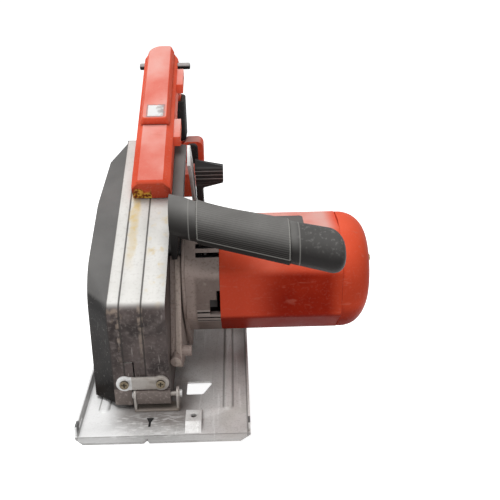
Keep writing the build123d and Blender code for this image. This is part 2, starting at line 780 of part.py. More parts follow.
def bearing(left_x, width, y, z, outer_radius, shaft_radius):
    """A sealed bearing as one ring that its shaft runs in."""
    rod(left_x, left_x + width, y, z, outer_radius)
    rod(left_x - 1.0, left_x + width + 1.0, y, z, shaft_radius + running, mode=Mode.SUBTRACT)


with BuildPart() as spindle_bearings:
    bearing(large_bearing_left_x, large_bearing_width, spindle_y, spindle_z, large_bearing_radius,
            spindle_diameter / 2)
    bearing(plate_left_x, gear_plate_thickness, spindle_y, spindle_z, bush_radius, spindle_diameter / 2)

with BuildPart() as layshaft_bearings:
    bearing(plate_left_x, gear_plate_thickness, layshaft_y, layshaft_z, plate_bore, layshaft_diameter / 2)
    bearing(motor_plate_x, motor_plate_thickness, layshaft_y, layshaft_z, plate_bore, layshaft_diameter / 2)

# Motor bearing plate inside the fan housing
barrel_bore = motor_radius - motor_wall
plate_end_x = motor_plate_x + motor_plate_thickness
with BuildPart() as motor_plate:
    rod(motor_plate_x, plate_end_x, motor_y, motor_z, barrel_bore - fit)
    rod(motor_plate_x - 1.0, plate_end_x + 1.0, motor_y, motor_z, armature_bearing_radius, mode=Mode.SUBTRACT)
    rod(motor_plate_x - 1.0, plate_end_x + 1.0, layshaft_y, layshaft_z, plate_bore, mode=Mode.SUBTRACT)


def barrel(left_x, right_x, mode=Mode.ADD):
    """A length of the motor's outline: eight flats with rounded corners."""
    with BuildSketch(yz(left_x)) as outline:
        with Locations((motor_y, motor_z)):
            RegularPolygon(motor_radius, 8, major_radius=False, rotation=22.5)
        fillet(outline.vertices(), radius=barrel_corner)
    extrude(outline.sketch, amount=right_x - left_x, mode=mode)


# Fan housing: the grey adaptor between the gear plate and the motor, with grooves and air openings
flat_y = motor_y - motor_radius
flat_half = motor_radius * tan(radians(22.5))
with BuildPart() as fan_housing:
    barrel(plate_right_x, fan_housing_right_x)
    rod(plate_right_x - 1.0, fan_housing_right_x + 1.0, motor_y, motor_z, barrel_bore, mode=Mode.SUBTRACT)
    for drop in groove_drops:
        low_z = motor_z - drop
        block(vent_x, fan_housing_right_x, flat_y - 1.0, flat_y + max(0, drop - flat_half) + groove_depth,
              low_z, low_z + groove_height, mode=Mode.SUBTRACT)
    for rise in vent_rises:
        low_z = motor_z + rise
        block(vent_x, fan_housing_right_x, flat_y - 1.0, flat_y + rise - flat_half + vent_depth, low_z,
              low_z + vent_height, mode=Mode.SUBTRACT)
    catch_z = motor_z - catch_drop
    block(fan_left_x + 4.0, fan_housing_right_x, flat_y - 1.0, motor_y, catch_z, catch_z + catch_height,
          mode=Mode.SUBTRACT)
    block(fan_housing_right_x - 3.0, fan_housing_right_x, flat_y - 1.0, motor_y, catch_z,
          catch_z + 1.6 * catch_height,
          mode=Mode.SUBTRACT)
    for side in (-1, 1):
        for step in (-12.0, -4.0, 4.0, 12.0):
            with BuildSketch(Plane.XY.offset(motor_z)):
                with Locations((fan_left_x + fan_width / 2, motor_y + step)):
                    Rectangle(fan_width, vent_height)
            extrude(amount=side * (motor_radius + 2.0), mode=Mode.SUBTRACT)

# Motor housing: a red barrel with four ribs that hold the field core
core_right_x = core_left_x + core_length
holder_x = commutator_x + commutator_length / 2
with BuildPart() as motor_housing:
    barrel(fan_housing_right_x, housing_right_x)
    rod(fan_housing_right_x - 1.0, housing_right_x + 1.0, motor_y, motor_z, barrel_bore, mode=Mode.SUBTRACT)
    with BuildSketch(yz(core_left_x)):
        with Locations((motor_y, motor_z)):
            with PolarLocations((field_radius + barrel_bore + 1.0) / 2, 4, start_angle=45):
                Rectangle(barrel_bore + 1.0 - field_radius, field_rib_width)
            Circle(field_radius, mode=Mode.SUBTRACT)
    extrude(amount=core_length)

# End cap: a domed cover with a bearing seat and a ring of air slots
rear_bearing_x = housing_right_x - 4.0
motor_axis = Axis((0, motor_y, motor_z), (1, 0, 0))
with BuildPart() as end_cap:
    barrel(housing_right_x, motor_right_x)
    with BuildSketch(Plane.XY.offset(motor_z)) as dome:
        with Locations(((housing_right_x + motor_right_x) / 2, motor_y + motor_radius / 2 + 0.25)):
            Rectangle(motor_right_x - housing_right_x, motor_radius + 0.5)
        fillet(dome.vertices().sort_by(Axis.X)[-2:].sort_by(Axis.Y)[-1], radius=end_cap_radius - 0.5)
    revolve(axis=motor_axis, mode=Mode.INTERSECT)
    with BuildSketch(Plane.XY.offset(motor_z)) as hollow:
        with Locations(((housing_right_x + motor_right_x - motor_wall) / 2, motor_y + barrel_bore / 2)):
            Rectangle(motor_right_x - motor_wall - housing_right_x, barrel_bore)
        fillet(hollow.vertices().sort_by(Axis.X)[-2:].sort_by(Axis.Y)[-1],
               radius=end_cap_radius - motor_wall - 0.5)
    revolve(axis=motor_axis, mode=Mode.SUBTRACT)
    with BuildSketch(yz(rear_bearing_x)):
        with Locations((motor_y, motor_z)):
            Circle(rear_bearing_radius + 4.0)
            Circle(rear_bearing_radius, mode=Mode.SUBTRACT)
    extrude(amount=motor_right_x - motor_wall - rear_bearing_x + 1.0)
    with BuildSketch(yz(motor_right_x - motor_wall - 1.0)):
        with Locations((motor_y, motor_z)):
            with PolarLocations(rear_bearing_radius + 9.0, 10):
                Rectangle(8.0, 3.0)
    extrude(amount=motor_wall + 3.0, mode=Mode.SUBTRACT)

# Armature: shaft with the pinion cut on it, core, commutator and fan
armature_shaft_radius = armature_shaft_diameter / 2
with BuildPart() as armature_shaft:
    rod(wheel_right_x + stage_gap, rear_bearing_x + 10.0, motor_y, motor_z, armature_shaft_radius)
    with BuildSketch(yz(wheel_left_x)):
        polygon(gear_points(pinion_teeth, first_module, motor_y, motor_z,
                            gear_angle + 180 + 180 / pinion_teeth))
    extrude(amount=gear_width + stage_gap)

shaft_hole_radius = armature_shaft_radius + fit
with BuildPart() as armature_core:
    with BuildSketch(yz(core_left_x)):
        with Locations((motor_y, motor_z)):
            Circle(armature_radius)
            with PolarLocations(armature_radius, 12):
                Rectangle(6.0, 2.2, mode=Mode.SUBTRACT)
            Circle(shaft_hole_radius, mode=Mode.SUBTRACT)
    extrude(amount=core_length)
    for left_x in (core_left_x - coil_length, core_right_x):
        with BuildSketch(yz(left_x)):
            with Locations((motor_y, motor_z)):
                Circle(armature_radius - 3.0)
                Circle(shaft_hole_radius, mode=Mode.SUBTRACT)
        extrude(amount=coil_length)

with BuildPart() as commutator:
    with BuildSketch(yz(commutator_x)):
        with Locations((motor_y, motor_z)):
            Circle(commutator_radius)
            with PolarLocations(commutator_radius, 24):
                Rectangle(1.4, 0.6, mode=Mode.SUBTRACT)
            Circle(shaft_hole_radius, mode=Mode.SUBTRACT)
    extrude(amount=commutator_length)

with BuildPart() as cooling_fan:
    with BuildSketch(yz(fan_left_x)):
        with Locations((motor_y, motor_z)):
            Circle(fan_radius)
            Circle(shaft_hole_radius, mode=Mode.SUBTRACT)
    extrude(amount=2.0)
    with BuildSketch(yz(fan_left_x)):
        with Locations((motor_y, motor_z)):
            Circle(shaft_hole_radius + 4.0)
            Circle(shaft_hole_radius, mode=Mode.SUBTRACT)
            with PolarLocations(fan_radius * 0.7, fan_vanes):
                Rectangle(fan_radius * 0.55, 1.6, rotation=28)
    extrude(amount=fan_width)

with BuildPart() as armature_bearings:
    bearing(motor_plate_x, motor_plate_thickness, motor_y, motor_z, armature_bearing_radius,
            armature_shaft_radius)
    bearing(rear_bearing_x, 9.0, motor_y, motor_z, rear_bearing_radius, armature_shaft_radius)

# Field: laminated core with its two end coils
with BuildPart() as field_core:
    with BuildSketch(yz(core_left_x)):
        with Locations((motor_y, motor_z)):
            Circle(field_radius)
            Circle(armature_radius + air_gap, mode=Mode.SUBTRACT)
    extrude(amount=core_length)

with BuildPart() as field_coils:
    for left_x in (core_left_x - coil_length, core_right_x):
        with BuildSketch(yz(left_x)):
            with Locations((motor_y, motor_z)):
                Circle(field_radius - 3.0)
                Circle(armature_radius + air_gap + 2.0, mode=Mode.SUBTRACT)
        extrude(amount=coil_length)

# Brushes in their brass holders, which stand on the inner wall of the motor housing
holder_inner = commutator_radius + 2.0
with BuildPart() as brush_holders:
    for side in (-1, 1):
        with BuildSketch(Plane.XY.offset(motor_z + side * holder_inner)):
            with Locations((holder_x, motor_y)):
                Rectangle(brush_depth + 2 * holder_wall, brush_width + 2 * holder_wall)
                Rectangle(brush_depth + 2 * fit, brush_width + 2 * fit, mode=Mode.SUBTRACT)
        extrude(amount=side * (barrel_bore - holder_inner))
    rod(commutator_x, commutator_x + commutator_length, motor_y, motor_z, barrel_bore - 2 * fit,
        mode=Mode.INTERSECT)

with BuildPart() as brushes:
    for side in (-1, 1):
        with BuildSketch(Plane.XY.offset(motor_z + side * (commutator_radius + slip))):
            with Locations((holder_x, motor_y)):
                Rectangle(brush_depth, brush_width)
        extrude(amount=side * brush_length)

# Front handle: a cast foot on the guard's right wall and a round grip that runs out over the motor
start = Vector(*front_handle_start)
reach = Vector(*front_handle_end) - start
handle_length = reach.length
grip_plane = Plane(origin=start, x_dir=reach, z_dir=reach.cross(Vector(0, 0, 1)))
grip_axis = Axis(start, reach)
swell = (front_handle_end_radius - front_handle_radius) / handle_length
foot_y = start.Y - reach.Y / reach.X * (start.X - guard_right_x)
foot_z = start.Z - reach.Z / reach.X * (start.X - guard_right_x)
with BuildPart() as front_handle:
    with BuildSketch(yz(guard_right_x)):
        for y, z, radius in ((foot_y, foot_z, front_handle_radius + 2.0),
                             (foot_y - foot_ahead, facet_z(foot_y - foot_ahead) - foot_sink, foot_round),
                             (foot_y + foot_behind, facet_z(foot_y + foot_behind) - foot_sink, foot_round)):
            with Locations((y, z)):
                Circle(radius)
        make_hull()
    extrude(amount=handle_foot)
    with BuildSketch(yz(guard_right_x)):
        for y in (foot_y, ridge_y - foot_tail):
            with Locations((y, facet_z(y) - foot_sink)):
                Circle(foot_round)
        make_hull()
    extrude(amount=handle_foot)
    with BuildSketch(grip_plane) as profile:
        polygon([(-handle_foot - 8.0, 0), (-handle_foot - 8.0, front_handle_radius), (0, front_handle_radius),
                 (handle_length, front_handle_end_radius), (handle_length, 0)])
        fillet(profile.vertices().sort_by(Axis.X)[-2:].sort_by(Axis.Y)[-1], radius=handle_end_round)
    revolve(axis=grip_axis)
    block(guard_left_x, guard_right_x, 0, spindle_y + boss_radius, crease_z, bolt_y, mode=Mode.SUBTRACT)

with BuildPart() as front_grip:
    with BuildSketch(grip_plane):
        low = front_handle_radius + swell * grip_start + fit
        high = front_handle_radius + swell * grip_end + fit
        polygon([(grip_start, low), (grip_start + 1.0, low + grip_skin), (grip_end - 1.0, high + grip_skin),
                 (grip_end, high)])
    revolve(axis=grip_axis)

# Main handle: two moulded halves of a closed loop, with flats along its edges
post_y = guard_rear_y + 0.5
bar_drop = bar_depth / cos(radians(handle_slope))
loop_front_y = post_y + post_depth
handle_points = [(handle_front_y, facet_z(handle_front_y) + slip), (ridge_y + 0.4, facet_z(ridge_y) + 0.6),
                 (post_y, shoulder_z + 0.6), (post_y, handle_bottom_z + 10.0),
                 (handle_crest_y, handle_bottom_z), (handle_rear_y, handle_bottom_z + 26.0),
                 (handle_rear_y, bar_top_z(handle_crest_y) - 15.0),
                 (handle_crest_y, bar_top_z(handle_crest_y)),
                 (handle_front_y - 8.0, bar_top_z(handle_front_y - 8.0))]
handle_radii = [1.0, 1.0, 1.0, 4.0, 8.0, 8.0, 8.0, 3.0, 3.0]
side_points = [(handle_front_y + 1.0, facet_z(handle_front_y + 1.0) + slip), handle_points[1],
               handle_points[2],
               (post_y, handle_bottom_z + 10.0 + handle_chamfer),
               (handle_crest_y - 3.0, handle_bottom_z + handle_chamfer),
               (handle_rear_y - handle_chamfer, handle_bottom_z + 26.0 + handle_chamfer),
               (handle_rear_y - handle_chamfer, bar_top_z(handle_crest_y) - 15.0 - handle_chamfer / 2),
               (handle_crest_y - 3.0, bar_top_z(handle_crest_y - 3.0) - handle_chamfer),
               (handle_front_y - 7.0, bar_top_z(handle_front_y - 7.0) - handle_chamfer)]
loop_points = [(loop_front_y, loop_floor_z), (grip_front_y, loop_floor_z),
               (grip_front_y, bar_top_z(grip_front_y) - bar_drop),
               (loop_front_y, bar_top_z(loop_front_y) - bar_drop)]
crossbar_z = bar_top_z(crossbar_y) - crossbar_below_top
gland_z = handle_bottom_z + 12.0
gland_y = handle_crest_y + 4.0
switch_y = grip_front_y + trigger_stem + trigger_travel + 1.0
trigger_low_z, trigger_high_z = trigger_z - trigger_height / 2, trigger_z + trigger_height / 2
lug_places = (ridge_y - front_lug_ahead, handle_rear_y - rear_lug_back)


def handle_half(side):
    """One half of the main handle, on the left for -1 and on the right for 1."""
    straight = handle_width / 2 - handle_chamfer
    with BuildSketch(yz(handle_mid_x)) as inner:
        rounded(handle_points, handle_radii)
    extrude(inner.sketch, amount=side * straight)
    with BuildSketch(yz(handle_mid_x + side * straight)) as waist:
        rounded(handle_points, handle_radii)
    with BuildSketch(yz(handle_mid_x + side * handle_width / 2)) as flank:
        rounded(side_points, handle_radii)
    loft([waist.sketch, flank.sketch])
    with BuildSketch(yz(handle_mid_x)) as opening:
        rounded(loop_points, loop_radius)
    extrude(opening.sketch, amount=side * handle_width, mode=Mode.SUBTRACT)
    block(handle_mid_x - trigger_width / 2 - slip, handle_mid_x + trigger_width / 2 + slip,
          grip_front_y - 1.0,
          switch_y, trigger_low_z - slip, trigger_high_z + slip, mode=Mode.SUBTRACT)
    block(handle_mid_x - trigger_width / 2 - 2.0, handle_mid_x + trigger_width / 2 + 2.0,
          grip_front_y + trigger_stem - 3.0, switch_y + switch_depth, trigger_low_z - 2.5,
          trigger_high_z + 2.5,
          mode=Mode.SUBTRACT)
    rod(handle_left_x - 1.0, handle_right_x + 1.0, crossbar_y, crossbar_z, crossbar_diameter / 2 + running,
        mode=Mode.SUBTRACT)
    with BuildSketch(Plane(origin=(handle_mid_x, gland_y - 10.0, gland_z), x_dir=(-1, 0, 0),
                           z_dir=(0, 1, 0))) as bore:
        Circle(gland_diameter / 2)
    extrude(bore.sketch, amount=40.0, mode=Mode.SUBTRACT)


with BuildPart() as handle_left:
    handle_half(-1)

lug_end_x = handle_right_x + lug_reach
screw_seat_x = lug_end_x - screw_head_height - slip
with BuildPart() as handle_right:
    handle_half(1)
    for lug_y in lug_places:
        with BuildSketch(yz(handle_right_x)):
            half_rise = lug_length / 2 * tan(radians(handle_slope))
            lug_z = bar_top_z(lug_y) - lug_drop
            polygon([(lug_y - lug_length / 2, lug_z - half_rise - lug_height / 2),
                     (lug_y + lug_length / 2, lug_z + half_rise - lug_height / 2),
                     (lug_y + lug_length / 2, lug_z + half_rise + lug_height / 2),
                     (lug_y - lug_length / 2, lug_z - half_rise + lug_height / 2)])
        extrude(amount=lug_reach)
        rod(screw_seat_x, lug_end_x + 1.0, lug_y, lug_z, screw_head_diameter / 2 + fit, mode=Mode.SUBTRACT)
        rod(screw_seat_x - screw_sink, lug_end_x, lug_y, lug_z, screw_diameter / 2 + fit, mode=Mode.SUBTRACT)
    with BuildSketch(Plane.XZ.offset(-lobe_front_y)):
        with Locations(((handle_right_x + lobe_right_x) / 2, (lobe_low_z + lobe_high_z) / 2)):
            RectangleRounded(lobe_right_x - handle_right_x, lobe_high_z - lobe_low_z, lobe_radius)
    extrude(amount=-lobe_depth)

with BuildPart() as handle_screws:
    for lug_y in lug_places:
        lug_z = bar_top_z(lug_y) - lug_drop
        rod(screw_seat_x - screw_sink, screw_seat_x, lug_y, lug_z, screw_diameter / 2)
        rod(screw_seat_x, screw_seat_x + screw_head_height, lug_y, lug_z, screw_head_diameter / 2)

# Rubber buffer on the front of the handle's lobe
with BuildPart() as handle_buffer:
    with BuildSketch(Plane.XZ.offset(-lobe_front_y)):
        with Locations((buffer_x, buffer_z)):
            RectangleRounded(buffer_width, buffer_length, buffer_round)
    extrude(amount=buffer_height)
    chamfer(handle_buffer.faces().sort_by(Axis.Y)[0].edges(), length=1.0)

# Raised panel on top of the main handle, with leaning sides
panel_length = (handle_crest_y - panel_back - panel_front_y) / cos(radians(handle_slope))
panel_mid_y = (handle_crest_y - panel_back + panel_front_y) / 2
panel_plane = Plane(origin=(handle_mid_x, panel_mid_y, bar_top_z(panel_mid_y)), x_dir=(1, 0, 0),
                    z_dir=(0, -sin(radians(handle_slope)), cos(radians(handle_slope))))
with BuildPart() as handle_panel:
    for lift, half_wide, half_long in ((0, panel_base / 2, panel_length / 2),
                                       (panel_rise, panel_width / 2, panel_length / 2 - 1.0)):
        with BuildSketch(panel_plane.offset(lift)):
            rounded([(-half_wide, -half_long), (half_wide, -half_long), (half_wide, half_long),
                     (-half_wide, half_long)],
                    [panel_corner, panel_corner, panel_corner, panel_end_round])
    loft()

# Rubber sleeve round the rear grip
with BuildPart() as grip_sleeve:
    sleeve_low_z = lobe_high_z + slip
    with BuildSketch(Plane.XY.offset(sleeve_low_z)):
        mid_y = (grip_front_y + handle_rear_y) / 2
        with Locations((handle_mid_x, mid_y)):
            RectangleRounded(handle_width + 2 * sleeve_skin, grip_depth + 2 * sleeve_skin, 9.0)
        flat = handle_chamfer + 0.4
        wide, front, back = handle_width / 2 + slip, grip_front_y - slip, handle_rear_y + slip
        polygon_points = [(handle_mid_x - wide, front), (handle_mid_x + wide, front),
                          (handle_mid_x + wide, back - flat),
                          (handle_mid_x + wide - flat, back), (handle_mid_x - wide + flat, back),
                          (handle_mid_x - wide, back - flat)]
        with BuildLine() as socket:
            Polyline(*polygon_points, close=True)
        make_face(socket.edges(), mode=Mode.SUBTRACT)
        with Locations((handle_mid_x, front)):
            Rectangle(sleeve_mouth, 4 * sleeve_skin, mode=Mode.SUBTRACT)
    extrude(amount=sleeve_length)

# Trigger, switch and lock-off bar
with BuildPart() as trigger:
    block(handle_mid_x - trigger_width / 2, handle_mid_x + trigger_width / 2, grip_front_y - trigger_reach,
          grip_front_y + trigger_stem, trigger_low_z, trigger_high_z)
    fillet(trigger.edges().filter_by(Axis.X).group_by(Axis.Y)[0], radius=4.0)
    block(handle_mid_x - trigger_width / 2 - 1.4, handle_mid_x + trigger_width / 2 + 1.4,
          grip_front_y + trigger_stem - 2.0, grip_front_y + trigger_stem, trigger_low_z - 1.6,
          trigger_high_z + 1.6)

with BuildPart() as switch_box:
    block(handle_mid_x - trigger_width / 2 - 2.0, handle_mid_x + trigger_width / 2 + 2.0, switch_y,
          switch_y + switch_depth, trigger_low_z - 2.5, trigger_high_z + 2.5)

with BuildPart() as lock_bar:
    rod(crossbar_left_x, crossbar_right_x, crossbar_y, crossbar_z, crossbar_diameter / 2)
    chamfer(lock_bar.edges().filter_by(GeomType.CIRCLE), length=0.8)

# Cord gland: an empty rubber bush at the foot of the handle
with BuildPart() as cord_gland:
    with BuildSketch(Plane(origin=(handle_mid_x, gland_y - 10.0, gland_z), x_dir=(-1, 0, 0),
                           z_dir=(0, 1, 0))):
        Circle(gland_diameter / 2)
        Circle(gland_bore / 2, mode=Mode.SUBTRACT)
    extrude(amount=gland_length)

# Depth quadrant: a slotted steel arc standing on the shoe, with its foot riveted down
quadrant_right_x = quadrant_x + quadrant_thickness
quadrant_inner, quadrant_outer = quadrant_radius - quadrant_width / 2, quadrant_radius + quadrant_width / 2
slot_half = bolt_diameter / 2 + slip
slot_start, slot_end = bolt_angle - 0.5, bolt_angle + depth_travel + 0.5
rivet_places = ((quadrant_right_x + quadrant_foot / 2, quadrant_inner + 5.0),
                (quadrant_right_x + quadrant_foot / 2, quadrant_outer - 5.0))


def arc_band(inner, outer, first, last):
    """A band about the depth pivot between two radii and two angles, in the current sketch."""
    with BuildLine() as edge:
        low_in, mid_in, high_in = ring_points([inner] * 3, [first, (first + last) / 2, last], 0, pivot_z)
        low_out, mid_out, high_out = ring_points([outer] * 3, [first, (first + last) / 2, last], 0, pivot_z)
        ThreePointArc(low_in, mid_in, high_in)
        Line(high_in, high_out)
        ThreePointArc(high_out, mid_out, low_out)
        Line(low_out, low_in)
    return edge.edges()


with BuildPart() as quadrant:
    with BuildSketch(yz(quadrant_x)):
        make_face(arc_band(quadrant_inner, quadrant_outer, 0, slot_end + quadrant_margin))
        make_face(arc_band(quadrant_radius - slot_half, quadrant_radius + slot_half, slot_start, slot_end),
                  mode=Mode.SUBTRACT)
        for y, z in ring_points([quadrant_radius] * 2, [slot_start, slot_end], 0, pivot_z):
            with Locations((y, z)):
                Circle(slot_half, mode=Mode.SUBTRACT)
    extrude(amount=quadrant_thickness)
    block(quadrant_x, quadrant_right_x, quadrant_inner, quadrant_outer, sheet, pivot_z)
    block(quadrant_x, quadrant_right_x + quadrant_foot, quadrant_inner, quadrant_outer, sheet, 2 * sheet)
    with BuildSketch(Plane.XY):
        with Locations(*rivet_places):
            Circle(rivet_diameter / 2 + fit)
    extrude(amount=3 * sheet, mode=Mode.SUBTRACT)

with BuildPart() as quadrant_rivets:
    with BuildSketch(Plane.XY.offset(sheet)):
        with Locations(*rivet_places):
            Circle(rivet_diameter / 2)
    extrude(amount=sheet)
    with BuildSketch(Plane.XY.offset(2 * sheet)):
        with Locations(*rivet_places):
            Circle(rivet_diameter * 0.85)
    extrude(amount=1.8, taper=25)

# Depth bolt, clamp lever and nut
hub_left_x = quadrant_right_x + slip
hub_right_x = hub_left_x + lever_hub_width
with BuildPart() as depth_bolt:
    rod(wall_left_x - screw_head_height, wall_left_x, bolt_y, bolt_z, bolt_diameter)
    rod(wall_left_x, hub_right_x + nut_height, bolt_y, bolt_z, bolt_diameter / 2)

with BuildPart() as depth_nut:
    with BuildSketch(yz(hub_right_x + slip)):
        with Locations((bolt_y, bolt_z)):
            RegularPolygon(nut_width / 2, 6, major_radius=False)
            Circle(bolt_diameter / 2 + fit, mode=Mode.SUBTRACT)
    extrude(amount=nut_height)

lever_plane = Plane(origin=(hub_left_x, bolt_y, bolt_z), z_dir=(1, 0, 0),
                    x_dir=(0, cos(radians(lever_arm_angle)), sin(radians(lever_arm_angle))))
with BuildPart() as depth_lever:
    rod(hub_left_x, hub_right_x, bolt_y, bolt_z, lever_hub_diameter / 2)
    with BuildSketch(lever_plane.offset(1.0)):
        with Locations((lever_arm_length / 2, 0)):
            Rectangle(lever_arm_length, lever_arm_width)
    extrude(amount=lever_arm_thickness)
    with BuildSketch(lever_plane.offset(1.0)):
        with Locations((lever_arm_length, 0)):
            RectangleRounded(knob_height, knob_depth, 3.0)
        for ridge in range(knob_ridges):
            with Locations((lever_arm_length + knob_height * (ridge + 0.5) / knob_ridges - knob_height / 2,
                            knob_depth / 2)):
                Rectangle(1.4, 2.0, mode=Mode.SUBTRACT)
    extrude(amount=knob_length)
    rod(hub_left_x - 1.0, hub_right_x + 1.0, bolt_y, bolt_z, bolt_diameter / 2 + running, mode=Mode.SUBTRACT)

# Spindle lock: a sprung button in the gear case's toe, whose pin reaches back to the output gear
with BuildPart() as spindle_lock:
    with BuildSketch(xz(lock_front_y - lock_reach)):
        with Locations((-lock_x, lock_z)):
            Circle(lock_diameter / 2)
    extrude(amount=lock_tip_y - lock_front_y + lock_reach)
    with BuildSketch(xz(lock_front_y - lock_reach - lock_head)):
        with Locations((-lock_x, lock_z)):
            Circle(lock_diameter / 2 + 1.0)
    extrude(amount=lock_head)

# Screws that hold the end cap
with BuildPart() as end_screws:
    for turn in (45, 135, 225, 315):
        y, z = ring_points([end_screw_circle], [turn], motor_y, motor_z)[0]
        rod(motor_right_x, motor_right_x + end_screw_height, y, z, screw_head_diameter / 2 - 0.8)

os.makedirs("parts", exist_ok=True)
pieces = {"shoe": shoe, "pivot_bracket": pivot_bracket, "pivot_pin": pivot_pin, "quadrant": quadrant,
          "quadrant_rivets": quadrant_rivets, "upper_guard": upper_guard, "chamber_frame": chamber_frame,
          "chamber_rim": chamber_rim, "chip_cover": chip_cover, "guard_strap": guard_strap,
          "strap_screws": strap_screws, "lower_guard": lower_guard, "guard_spring": guard_spring, "blade":
          blade, "inner_flange": inner_flange, "outer_flange": outer_flange, "spindle": spindle,
          "blade_bolt": blade_bolt, "output_gear": output_gear, "layshaft": layshaft, "gear_case":
          gear_case, "gear_plate": gear_plate, "spindle_bearings": spindle_bearings, "layshaft_bearings":
          layshaft_bearings, "motor_plate": motor_plate, "fan_housing": fan_housing, "motor_housing":
          motor_housing, "end_cap": end_cap, "end_screws": end_screws, "armature_shaft": armature_shaft,
          "armature_core": armature_core, "commutator": commutator, "cooling_fan": cooling_fan,
          "armature_bearings": armature_bearings, "field_core": field_core, "field_coils": field_coils,
          "brush_holders": brush_holders, "brushes": brushes, "front_handle": front_handle, "front_grip":
          front_grip, "handle_left": handle_left, "handle_right": handle_right, "handle_screws":
          handle_screws, "handle_buffer": handle_buffer, "handle_panel": handle_panel,
          "grip_sleeve": grip_sleeve, "trigger": trigger,
          "switch_box": switch_box, "lock_bar": lock_bar, "cord_gland": cord_gland, "depth_bolt":
          depth_bolt, "depth_nut": depth_nut, "depth_lever": depth_lever, "spindle_lock": spindle_lock}
for name, piece in pieces.items():
    piece.part.label = name
    export_step(piece.part, f"parts/{name}.step")
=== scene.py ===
import json
from math import cos, pi, radians, sin, tan

import bmesh
import bpy
from mathutils import Matrix, Vector


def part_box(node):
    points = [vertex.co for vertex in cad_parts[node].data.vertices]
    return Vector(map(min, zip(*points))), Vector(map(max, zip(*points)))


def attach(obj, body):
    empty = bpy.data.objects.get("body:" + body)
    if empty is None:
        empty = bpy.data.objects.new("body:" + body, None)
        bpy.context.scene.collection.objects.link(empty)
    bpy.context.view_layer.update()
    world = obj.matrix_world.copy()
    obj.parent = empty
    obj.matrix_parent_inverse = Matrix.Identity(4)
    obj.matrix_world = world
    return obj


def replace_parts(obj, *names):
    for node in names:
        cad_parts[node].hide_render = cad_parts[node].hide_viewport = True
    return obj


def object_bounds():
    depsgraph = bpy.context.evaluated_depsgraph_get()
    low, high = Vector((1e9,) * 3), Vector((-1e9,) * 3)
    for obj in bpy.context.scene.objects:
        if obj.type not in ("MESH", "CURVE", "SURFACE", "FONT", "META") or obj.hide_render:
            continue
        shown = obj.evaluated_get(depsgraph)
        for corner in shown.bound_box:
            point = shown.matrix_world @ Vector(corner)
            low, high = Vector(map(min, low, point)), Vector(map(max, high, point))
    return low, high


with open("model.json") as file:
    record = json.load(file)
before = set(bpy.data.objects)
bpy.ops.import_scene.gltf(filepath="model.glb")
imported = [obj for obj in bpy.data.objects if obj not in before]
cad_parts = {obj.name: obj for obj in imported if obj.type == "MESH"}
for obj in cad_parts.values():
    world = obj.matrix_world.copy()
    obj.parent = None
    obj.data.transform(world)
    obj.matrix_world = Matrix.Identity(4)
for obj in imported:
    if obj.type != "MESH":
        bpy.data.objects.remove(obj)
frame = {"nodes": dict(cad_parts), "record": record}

cad_low, cad_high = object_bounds()

# The view: the photograph was taken from in front of the saw, above it and a little to its
# right, so the camera stands there. One wide lamp hangs over the saw and a weak one stands in
# front of it.
scene = bpy.context.scene
scene.view_settings.view_transform = "Standard"
camera_right = Vector((0.9996, -0.0259, -0.0149))
camera_up = Vector((0.0244, 0.4220, 0.9067))
camera = bpy.data.objects.new("camera", bpy.data.cameras.new("camera"))
camera.data.sensor_width = 36.0
camera.data.lens = 50.4
camera.data.clip_start = 0.01
turned = Matrix((camera_right, camera_up, camera_right.cross(camera_up))).transposed().to_4x4()
camera.matrix_world = Matrix.Translation((0.0634, -0.4807, 0.3702)) @ turned
scene.collection.objects.link(camera)
scene.camera = camera


def lamp(name, place, aim, size, watts):
    """A square lamp that shines from one point towards another."""
    data = bpy.data.lights.new(name, "AREA")
    data.size = size
    data.energy = watts
    made = bpy.data.objects.new(name, data)
    made.location = place
    made.rotation_euler = (Vector(aim) - Vector(place)).to_track_quat("-Z", "Y").to_euler()
    scene.collection.objects.link(made)


lamp("key_lamp", (-0.25, -0.05, 1.5), (0.0, 0.1, 0.1), 0.9, 16.0)
lamp("fill_lamp", (0.5, -1.5, 0.6), (0.05, 0.0, 0.1), 0.8, 3.5)

# The floor and the room: the camera and the metal see both as white, the floor keeps the
# saw's soft shadow, and the saw gets only a low even light from the room.


class Shade:
    """A value in a finish: sums and products of it add the nodes that work them out."""

    def __init__(self, finish, socket):
        self.finish, self.socket = finish, socket

    def math(self, operation, first, second):
        return self.finish.add("ShaderNodeMath", {"operation": operation}, {0: first, 1: second})

    def __add__(self, other):
        return self.math("ADD", self, other)

    def __sub__(self, other):
        return self.math("SUBTRACT", self, other)

    def __rsub__(self, other):
        return self.math("SUBTRACT", other, self)

    def __mul__(self, other):
        return self.math("MULTIPLY", self, other)

    def __abs__(self):
        return self.math("ABSOLUTE", self, 0.0)

    def __or__(self, other):
        return self.math("MAXIMUM", self, other)

    __radd__, __rmul__ = __add__, __mul__


